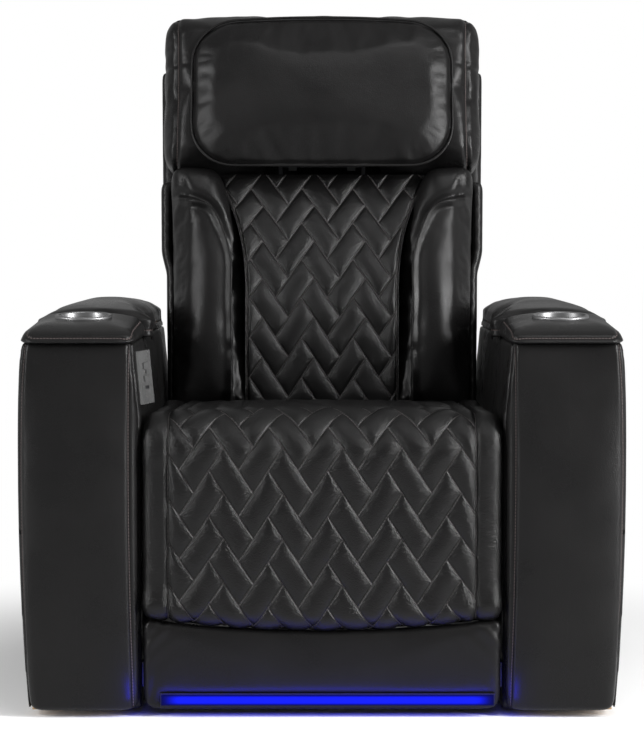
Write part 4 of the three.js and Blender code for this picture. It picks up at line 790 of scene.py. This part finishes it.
def mirrored(piece, name):
    alone(piece)
    bpy.ops.object.duplicate()
    twin = bpy.context.object
    twin.name = twin.data.name = name
    points = points_of(twin)
    points[:, 0] *= -1
    move_points(twin, points)
    return edit(twin, lambda: bpy.ops.mesh.flip_normals())


print("cushion helpers ready")

# %% [markdown]
# ## Side bolsters
#
# The bolsters carry the arms' side of the back. Each has a fat round roll along the insert, wrinkles
# where the roll pulls on its outer part, and a top edge that curves down towards the insert.

# %% Bolsters
PUFF_LONG, PUFF_HIGH, ROLL_WIDE, ROLL_HIGH = 0.034, 0.005, 0.019, 0.011
BOLSTER_CHANNEL = [(0.272, 0.426), (0.2465, 0.423), (0.19, 0.406), (0.163, 0.357), (0.150, 0.305),
                   (0.1495, 0.237), (0.1475, 0.150), (0.147, 0.040)]


def back_plane(points):
    return np.stack([points[:, 0], off_back(points)[:, 1]], 1)


def make_bolster():
    piece = remesh(copy_of("bolster_right", "bolster_right"), 0.0042)
    swell(piece, lambda p: np.clip((off_back(p)[:, 0] + 0.034) / 0.01, 0, 1), cap=0.016)
    apply_modifier(piece, "SUBSURF", levels=1, render_levels=1)
    points, normals = points_of(piece), normals_of(piece)
    flat = off_back(points)
    front = np.clip((-flat[:, 0] - 0.05) / 0.04, 0, 1)
    outer = eased((points[:, 0] - 0.19) / 0.04)
    squashed = np.stack([points[:, 0] * 0.35, flat[:, 0] * 0.3, flat[:, 1]], 1)
    creases = rough(squashed, 55, 3.1) + 0.6 * rough(squashed, 110, 7.7)
    channel = spread(smooth_path(BOLSTER_CHANNEL), 0.008, closed=False)
    far, run = nearest_on(channel, back_plane(points))
    inner = far > 0
    low = np.clip((0.40 - flat[:, 1]) / 0.1, 0, 1)
    puffed = np.exp(-((far + 0.040) / 0.028) ** 2)
    waves = np.sin(flat[:, 1] * 2 * math.pi / PUFF_LONG + 2.5 * rough(squashed, 25, 1.4))
    lift = creases * 0.0026 * front * (0.1 + 0.6 * outer + 0.5 * puffed) * ~inner * low
    lift += PUFF_HIGH * waves * puffed * ~inner * front * low
    edge_folds = rough(np.stack([points[:, 0] * 0.3, 0 * run, flat[:, 1]], 1), 150, 6.0)
    outermost = np.exp(-((points[:, 0] - 0.25) / 0.012) ** 2) * np.exp(-((flat[:, 1] - 0.29) / 0.1) ** 4)
    lift += edge_folds * 0.0018 * outermost * front
    lift += 0.005 * puffed * ~inner * front
    lift -= 0.008 * np.exp(-((far + 0.003) / 0.006) ** 2) * front
    lift += 0.0045 * (eased(far / 0.010) - eased((far - 0.014) / 0.05)) * front
    points = points + normals * lift[:, None]
    roll = ROLL_HIGH * np.sin(math.pi * np.clip(far / ROLL_WIDE, 0, 1)) * front
    points += roll[:, None] * np.array([0, -math.cos(RAKE), math.sin(RAKE)])
    points[:, 0] -= 0.007 * np.exp(-((far - 0.013) / 0.008) ** 2) * inner * front
    rise = 0.011 * eased((flat[:, 1] - cushion_top + 0.05) / 0.05) * eased((-flat[:, 0] - 0.05) / 0.04)
    points[:, 0] -= 0.010 * eased((points[:, 0] - 0.215) / 0.035)
    move_points(piece, points + rise[:, None] * np.array([0, math.sin(RAKE), math.cos(RAKE)]))
    return apply_modifier(piece, "SMOOTH", factor=0.5, iterations=6)


bolster_right = make_bolster()
bolster_left = mirrored(bolster_right, "bolster_left")
dress(bolster_right, plain_leather, "back", "bolster_right", fill=0.9)
dress(bolster_left, plain_leather, "back", "bolster_left", fill=0.9)

# %% [markdown]
# ## Head block and head pillow
#
# The head block is a soft box with a sewn seam down each side of its face. A thinner pillow with a
# piped edge is sewn over it. Both crease inwards from their seams, because the leather is gathered.

# %% Piping: a cord under leather, along a path of points
def piping(name, path, radius, body):
    alone(floor)
    bpy.ops.curve.primitive_nurbs_path_add()
    cord = bpy.context.object
    cord.name = cord.data.name = name
    spline = cord.data.splines[0]
    spline.points.add(len(path) - len(spline.points))
    spline.points.foreach_set("co", np.hstack([path, np.ones((len(path), 1))]).ravel())
    spline.use_cyclic_u, spline.order_u, spline.use_endpoint_u = True, 4, False
    cord.data.bevel_depth, cord.data.bevel_resolution, cord.data.resolution_u = radius, 3, 3
    cord.data.use_fill_caps = True
    alone(cord)
    bpy.ops.object.convert(target="MESH")
    cord = bpy.context.object
    bpy.ops.object.transform_apply(location=True, rotation=True, scale=True)
    edit(cord, lambda: bpy.ops.mesh.normals_make_consistent(inside=False))
    return dress(cord, plain_leather, body)


def rounded_loop(half_wide, low, high, corner):
    """A rounded rectangle round x = 0, as points in a plane."""
    across, top, bottom = half_wide - corner, high - corner, low + corner
    centres = (across, top), (-across, top), (-across, bottom), (across, bottom)
    return np.concatenate([arc(c, corner, 90 * turn, 90 * turn + 90, 12) for turn, c in enumerate(centres)])


def facing_front(points, normals):
    return normals[:, 1] < -0.25


def domed(points):
    """Raises the middle of the head's top edge, and lowers its corners."""
    rise = 0.007 * (1 - (points[:, 0] / 0.17) ** 2) * eased((off_back(points)[:, 1] - 0.63) / 0.1)
    return points + rise[:, None] * np.array([0, math.sin(RAKE), math.cos(RAKE)])


# %% [markdown]
# The block's sides are gathered along their seams, and its top edge is slightly domed. A fold runs
# across each side at mid height.

# %% Head block
head_high, head_seam = heights_of("head_block")[1], 0.247
block = remesh(copy_of("head_block", "head_block"), 0.0055)
swell(block, lambda p: np.clip((off_back(p)[:, 0] + 0.02) / 0.03, 0, 1), cap=0.009)
apply_modifier(block, "SUBSURF", levels=1, render_levels=1)
points, normals = points_of(block), normals_of(block)
flat = off_back(points)
from_seam = np.abs(np.abs(points[:, 0]) - head_seam)
pulls = rough(np.stack([points[:, 0] * 0.25, flat[:, 0] * 0.4, flat[:, 1]], 1), 70, 2.0)
ears = np.exp(-(from_seam / 0.03) ** 2) * (normals[:, 1] < 0.2)
fold_at = np.exp(-((flat[:, 1] - 0.652) / 0.006) ** 2) * (np.abs(points[:, 0]) > 0.2)
move_points(block, points + normals * (pulls * 0.0011 * ears - 0.0018 * fold_at)[:, None])
head_seams = [np.array([(x, head_low - 0.02), (x, head_high + 0.02)]) for x in (-head_seam, head_seam)]
sew(block, head_seams, back_plane, lambda p, n: n[:, 1] < 0.1, deep=0.004, wide=0.0045)
move_points(block, domed(points_of(block)))
dress(block, stitched_leather, "headrest", "head_block", fill=0.9)

# %% [markdown]
# The pillow's leather is gathered along its edge, where a cord under leather closes it.

# %% Head pillow with its piped edge
def pillow_outline(inset):
    low, high = pillow_low + inset, pillow_high - inset
    return rounded_loop(PILLOW_HALF - inset, low, high, PILLOW_CORNER)


PILLOW_HALF, PILLOW_CORNER = 0.2215, 0.07
pillow_low, pillow_high = heights_of("head_pillow")
pillow = remesh(copy_of("head_pillow", "head_pillow"), 0.0042)
swell(pillow, lambda p: np.clip((off_back(p)[:, 0] + 0.115) / 0.004, 0, 1), cap=0.010, growth=0.02)
apply_modifier(pillow, "SUBSURF", levels=1, render_levels=1)
outline = pillow_outline(0.004)
outline = np.vstack([outline, outline[:1]])
points, normals = points_of(pillow), normals_of(pillow)
far, run = nearest_on(outline, back_plane(points))
seen_face = facing_front(points, normals)
near_edge = np.exp(-((np.abs(far) - 0.012) / 0.016) ** 2) * seen_face
gathers = rough(np.stack([run, far * 0.25, 0 * run], 1), 85, 5.0)
broad = rough(np.stack([points[:, 0], 0 * run, points[:, 2] * 1.3], 1), 14, 9.0)
lift = gathers * 0.0007 * near_edge + broad * 0.0006 * seen_face
move_points(pillow, points + normals * lift[:, None])
sew(pillow, [outline], back_plane, facing_front, deep=0.002, wide=0.004)
move_points(pillow, domed(points_of(pillow)))
dress(pillow, plain_leather, "headrest", "head_pillow", fill=0.85)
pillow_loop = spread(pillow_outline(0.001))
edge_place = on_back(np.full(len(pillow_loop), -114.0), pillow_loop[:, 1] * 1000)
pillow_edge = domed(np.column_stack([pillow_loop[:, 0], edge_place]))
piping("head_pillow_piping", pillow_edge, 0.0022, "headrest")

# %% [markdown]
# ## Back shell
#
# The shell is a padded box round the steel frame. Its sides show from the front as narrow borders,
# and above the arms they are fuller. Its rear has the sewn panel that such seats have, with a flap.

# %% Back shell
shell = remesh(copy_of("back_shell", "back_shell"), 0.006)
points = points_of(shell)
up = off_back(points)[:, 1]
wider = 0.0085 * eased((up - 0.30) / 0.05)
points[:, 0] += np.sign(points[:, 0]) * wider * eased((np.abs(points[:, 0]) - 0.2) / 0.05)
move_points(shell, points)
rear_panel = rounded_loop(0.215, 0.135, 0.645, 0.03)
flap = np.array([(-0.245, 0.075), (0.245, 0.075)])
rear_seams = [np.vstack([rear_panel, rear_panel[:1]]), flap]
sew(shell, rear_seams, back_plane, lambda p, n: n[:, 1] > 0.5, deep=0.003, wide=0.004)
dress(shell, stitched_leather, "back", "back_shell")

# %% [markdown]
# ## Arms
#
# Each arm is a box of padded panels under a sewn deck. Its front panel is crowned, with a topstitched
# seam along both edges. The right arm is made first, and its mirror image gives the left arm.

# %% Arm panels
def off_arm(points):
    """Across and up, in the plane of the arm's front."""
    return points[:, [0, 2]]


def off_side(points):
    """To the rear and up, in the plane of the arm's side."""
    return points[:, [1, 2]]


def both_arms(piece, name, node, finish, body=("base", "base"), slot="leather", fill=0.7):
    twin = mirrored(piece, name + "_left")
    dress(piece, finish, body[0], node + "_right", slot=slot, fill=fill)
    dress(twin, finish, body[1], node + "_left", slot=slot, fill=fill)


arm_inner_seam = smooth_path([(0.276, 0.56), (0.279, 0.50), (0.2802, 0.42), (0.2802, 0.30), (0.278, 0.16),
                              (0.2745, 0.05), (0.273, -0.02)], 40)
arm_outer_seam = smooth_path([(0.4285, 0.56), (0.4355, 0.48), (0.439, 0.39), (0.4385, 0.29), (0.4365, 0.19),
                              (0.434, 0.10), (0.431, -0.02)], 40)
front = remesh(copy_of("arm_front_right", "arm_front_panel_right"), 0.0042)
apply_modifier(front, "SMOOTH", factor=0.5, iterations=6)
points = points_of(front)
points[:, 2] += 0.0035 * eased((points[:, 2] - 0.51) / 0.03)
face = (points[:, 1] < arm_front_y + 0.02) * eased((0.50 - points[:, 2]) / 0.1)
points[:, 1] += 0.008 * face * np.abs((points[:, 0] - 0.358) / 0.083) ** 4
move_points(front, points)
apply_modifier(front, "SUBSURF", levels=1, render_levels=1)
sew(front, [arm_inner_seam, arm_outer_seam], off_arm, facing_front, deep=0.0022, wide=0.0032)
both_arms(front, "arm_front_panel", "arm_front", stitched_leather)

outer_panel = remesh(copy_of("arm_outer_right", "arm_side_panel_right"), 0.0055)
outer_low, outer_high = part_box("arm_outer_right")
front_line, rear_line, top_line = outer_low.y + 0.014, outer_high.y - 0.02, outer_high.z - 0.016
side_seams = [np.array([(front_line, -0.1), (front_line, 0.7)]),
              np.array([(outer_low.y - 0.1, top_line), (outer_high.y + 0.1, top_line)]),
              np.array([(rear_line, -0.1), (rear_line, 0.7)])]
sew(outer_panel, side_seams, off_side, lambda p, n: n[:, 0] > 0.4, deep=0.002, wide=0.0035)
points, normals = points_of(outer_panel), normals_of(outer_panel)
slack_in_leather = rough(points * np.array([1, 1, 0.6]), 7, 4.0) * (normals[:, 0] > 0.3)
move_points(outer_panel, points + normals * (slack_in_leather * 0.0022)[:, None])
both_arms(outer_panel, "arm_side_panel", "arm_outer", stitched_leather, fill=0.4)

inner_panel = remesh(copy_of("arm_inner_right", "arm_inside_panel_right"), 0.0055)
both_arms(inner_panel, "arm_inside_panel", "arm_inner", plain_leather, fill=0.4)

rear_panel_piece = copy_of("arm_rear_right", "arm_rear_panel_right")
apply_modifier(rear_panel_piece, "BEVEL", width=0.006, segments=3, limit_method="ANGLE")
rear_panel_piece = remesh(rear_panel_piece, 0.006)
rear_low, rear_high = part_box("arm_rear_right")
rear_seams = [np.array([(x, -0.1), (x, 0.7)]) for x in (rear_low.x + 0.01, rear_high.x - 0.01)]
sew(rear_panel_piece, rear_seams, off_arm, lambda p, n: n[:, 1] > 0.4, deep=0.0015, wide=0.003)
both_arms(rear_panel_piece, "arm_rear_panel", "arm_rear", stitched_leather, fill=0.3)

# %% [markdown]
# ## Cup deck and storage lid
#
# The deck's leather is drawn over the arm's top and sewn along its front and both sides. It rises
# towards the rear, and its edges are rounded down to a thin lip. The steel cup is set into it.

# %% Cup deck
def quarter_round(distance, radius):
    """Rises from 0 at an edge to 1 at a radius from it, like a rounded corner."""
    return np.sqrt(1 - (1 - np.clip(distance / radius, 0, 1)) ** 2)


deck_low, deck_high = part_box("cup_deck_right")
cup_low, cup_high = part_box("cup_right")
cup_at = np.array([(cup_low.x + cup_high.x) / 2, (cup_low.y + cup_high.y) / 2])
SLOPE, CUP_SHIFT, CUP_DRAWN_IN = 0.087, 0.0035, 0.09
deck = remesh(copy_of("cup_deck_right", "arm_deck_right"), 0.0032)
points = points_of(deck)
rounding = quarter_round(points[:, 1] - deck_low.y + 0.001, 0.045)
rounding *= quarter_round(deck_high.x - points[:, 0] + 0.002, 0.013)
rounding *= quarter_round(points[:, 0] - deck_low.x + 0.003, 0.009)
up = 1 + SLOPE / 0.039 * (points[:, 1] - cup_at[1]).clip(-0.11, 0.11)
points[:, 2] = deck_low.z + (points[:, 2] - deck_low.z) * up * (0.14 + 0.86 * rounding)
away = points[:, :2] - cup_at
near_cup = eased((0.078 - np.hypot(*away.T)) / 0.03)[:, None]
points[:, :2] -= (away * CUP_DRAWN_IN + np.array([CUP_SHIFT, 0])) * near_cup
points[:, 0] -= 0.008 * eased((points[:, 0] - 0.405) / 0.035)
move_points(deck, points)
apply_modifier(deck, "SMOOTH", factor=0.5, iterations=4)
sewn_in, sewn_out, sewn_front, turn = 0.2745, 0.4275, deck_low.y + 0.0045, 0.012
corners = [arc((sewn_out - turn, sewn_front + turn), turn, 0, -90, 10),
           arc((sewn_in + turn, sewn_front + turn), turn, -90, -180, 10)]
deck_seam = np.concatenate([[(sewn_out, -0.2)], *corners, [(sewn_in, -0.2)]])
sew(deck, [deck_seam], lambda p: p[:, :2], lambda p, n: n[:, 2] > -0.2, deep=0.0016, wide=0.0022)
both_arms(deck, "arm_deck", "cup_deck", stitched_leather, fill=0.6)

# %% [markdown]
# The liner of the cup is a copy of the steel cup. It leans forward with the deck round it.

# %% Cup liner
liner = copy_of("cup_right", "cup_liner_right")
points = points_of(liner)
points[:, :2] -= (points[:, :2] - cup_at) * CUP_DRAWN_IN + np.array([CUP_SHIFT, 0])
points[:, 2] += deck_high.z + 0.0015 - cup_high.z + SLOPE * (points[:, 1] - cup_at[1])
move_points(liner, points)
apply_modifier(liner, "BEVEL", width=0.0006, segments=2, limit_method="ANGLE")
both_arms(liner, "cup_liner", "cup", finishes["cup_steel"], slot="cup_steel", fill=None)

# %% [markdown]
# The lid pad behind the deck bulges over the arm's inner face. Its inner side hangs down over the
# edge of the lid board, and a seam runs round it just above its hem.

# %% Lid pad
def hem_plane(points):
    """Round the piece and up, so that a seam at one height runs round it."""
    return np.stack([points[:, 0] + points[:, 1], points[:, 2]], 1)


lid = remesh(copy_of("lid_pad_right", "storage_lid_right"), 0.0045)
lid_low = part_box("lid_pad_right")[0]
swell(lid, lambda p: np.clip((lid_low.z + 0.012 - p[:, 2]) / 0.008, 0, 1),
      cap=0.006, pressure=3.0, growth=0.015)
apply_modifier(lid, "SUBSURF", levels=1, render_levels=1)
points = points_of(lid)
high = eased((points[:, 2] - lid_low.z - 0.02) / 0.03)
points[:, 2] -= high * (0.005 + 0.010 * ((points[:, 0] - 0.35) / 0.09) ** 2)
points[:, 0] = np.where(points[:, 0] > 0.357, 0.357 + (points[:, 0] - 0.357) * 0.925, points[:, 0])
hanging = eased((0.292 - points[:, 0]) / 0.007) * eased((0.569 - points[:, 2]) / 0.006)
points[:, 0] += (np.minimum(points[:, 0], 0.2765) - points[:, 0]) * hanging
points[:, 2] -= 0.0125 * hanging
points[:, 2] = np.where(points[:, 0] > 0.262, np.maximum(points[:, 2], 0.5463), points[:, 2])
move_points(lid, points)
lid_hem = np.array([(-9, lid_low.z + 0.010), (9, lid_low.z + 0.010)])
sew(lid, [lid_hem], hem_plane, lambda p, n: n[:, 2] < 0.6, deep=0.0025, wide=0.003)
both_arms(lid, "storage_lid", "lid_pad", stitched_leather, body=("lid_right", "lid_left"), fill=0.8)

# %% [markdown]
# ## Kickboard
#
# The lower panel is a board under padded leather, which wrinkles in its top corners. A channel with
# a blue light runs along its foot.

# %% Kickboard
kick_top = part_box("kickboard")[1].z
kick = remesh(copy_of("kickboard", "kickboard_panel"), 0.0042)
apply_modifier(kick, "SMOOTH", factor=0.5, iterations=8)
points, normals = points_of(kick), normals_of(kick)
across, height = points[:, 0], points[:, 2]
corner_of = np.exp(-(((np.abs(across) - 0.25) / 0.035) ** 2 + ((height - kick_top) / 0.05) ** 2))
slanted = np.stack([across * 1.6 + height * np.sign(across) * 1.4, 0 * across, height * 0.3], 1)
wrinkles = rough(slanted, 60, 1.0) * 0.004 * corner_of * (normals[:, 1] < 0)
move_points(kick, points + normals * wrinkles[:, None])
dress(kick, plain_leather, "base", "kickboard", fill=0.6)
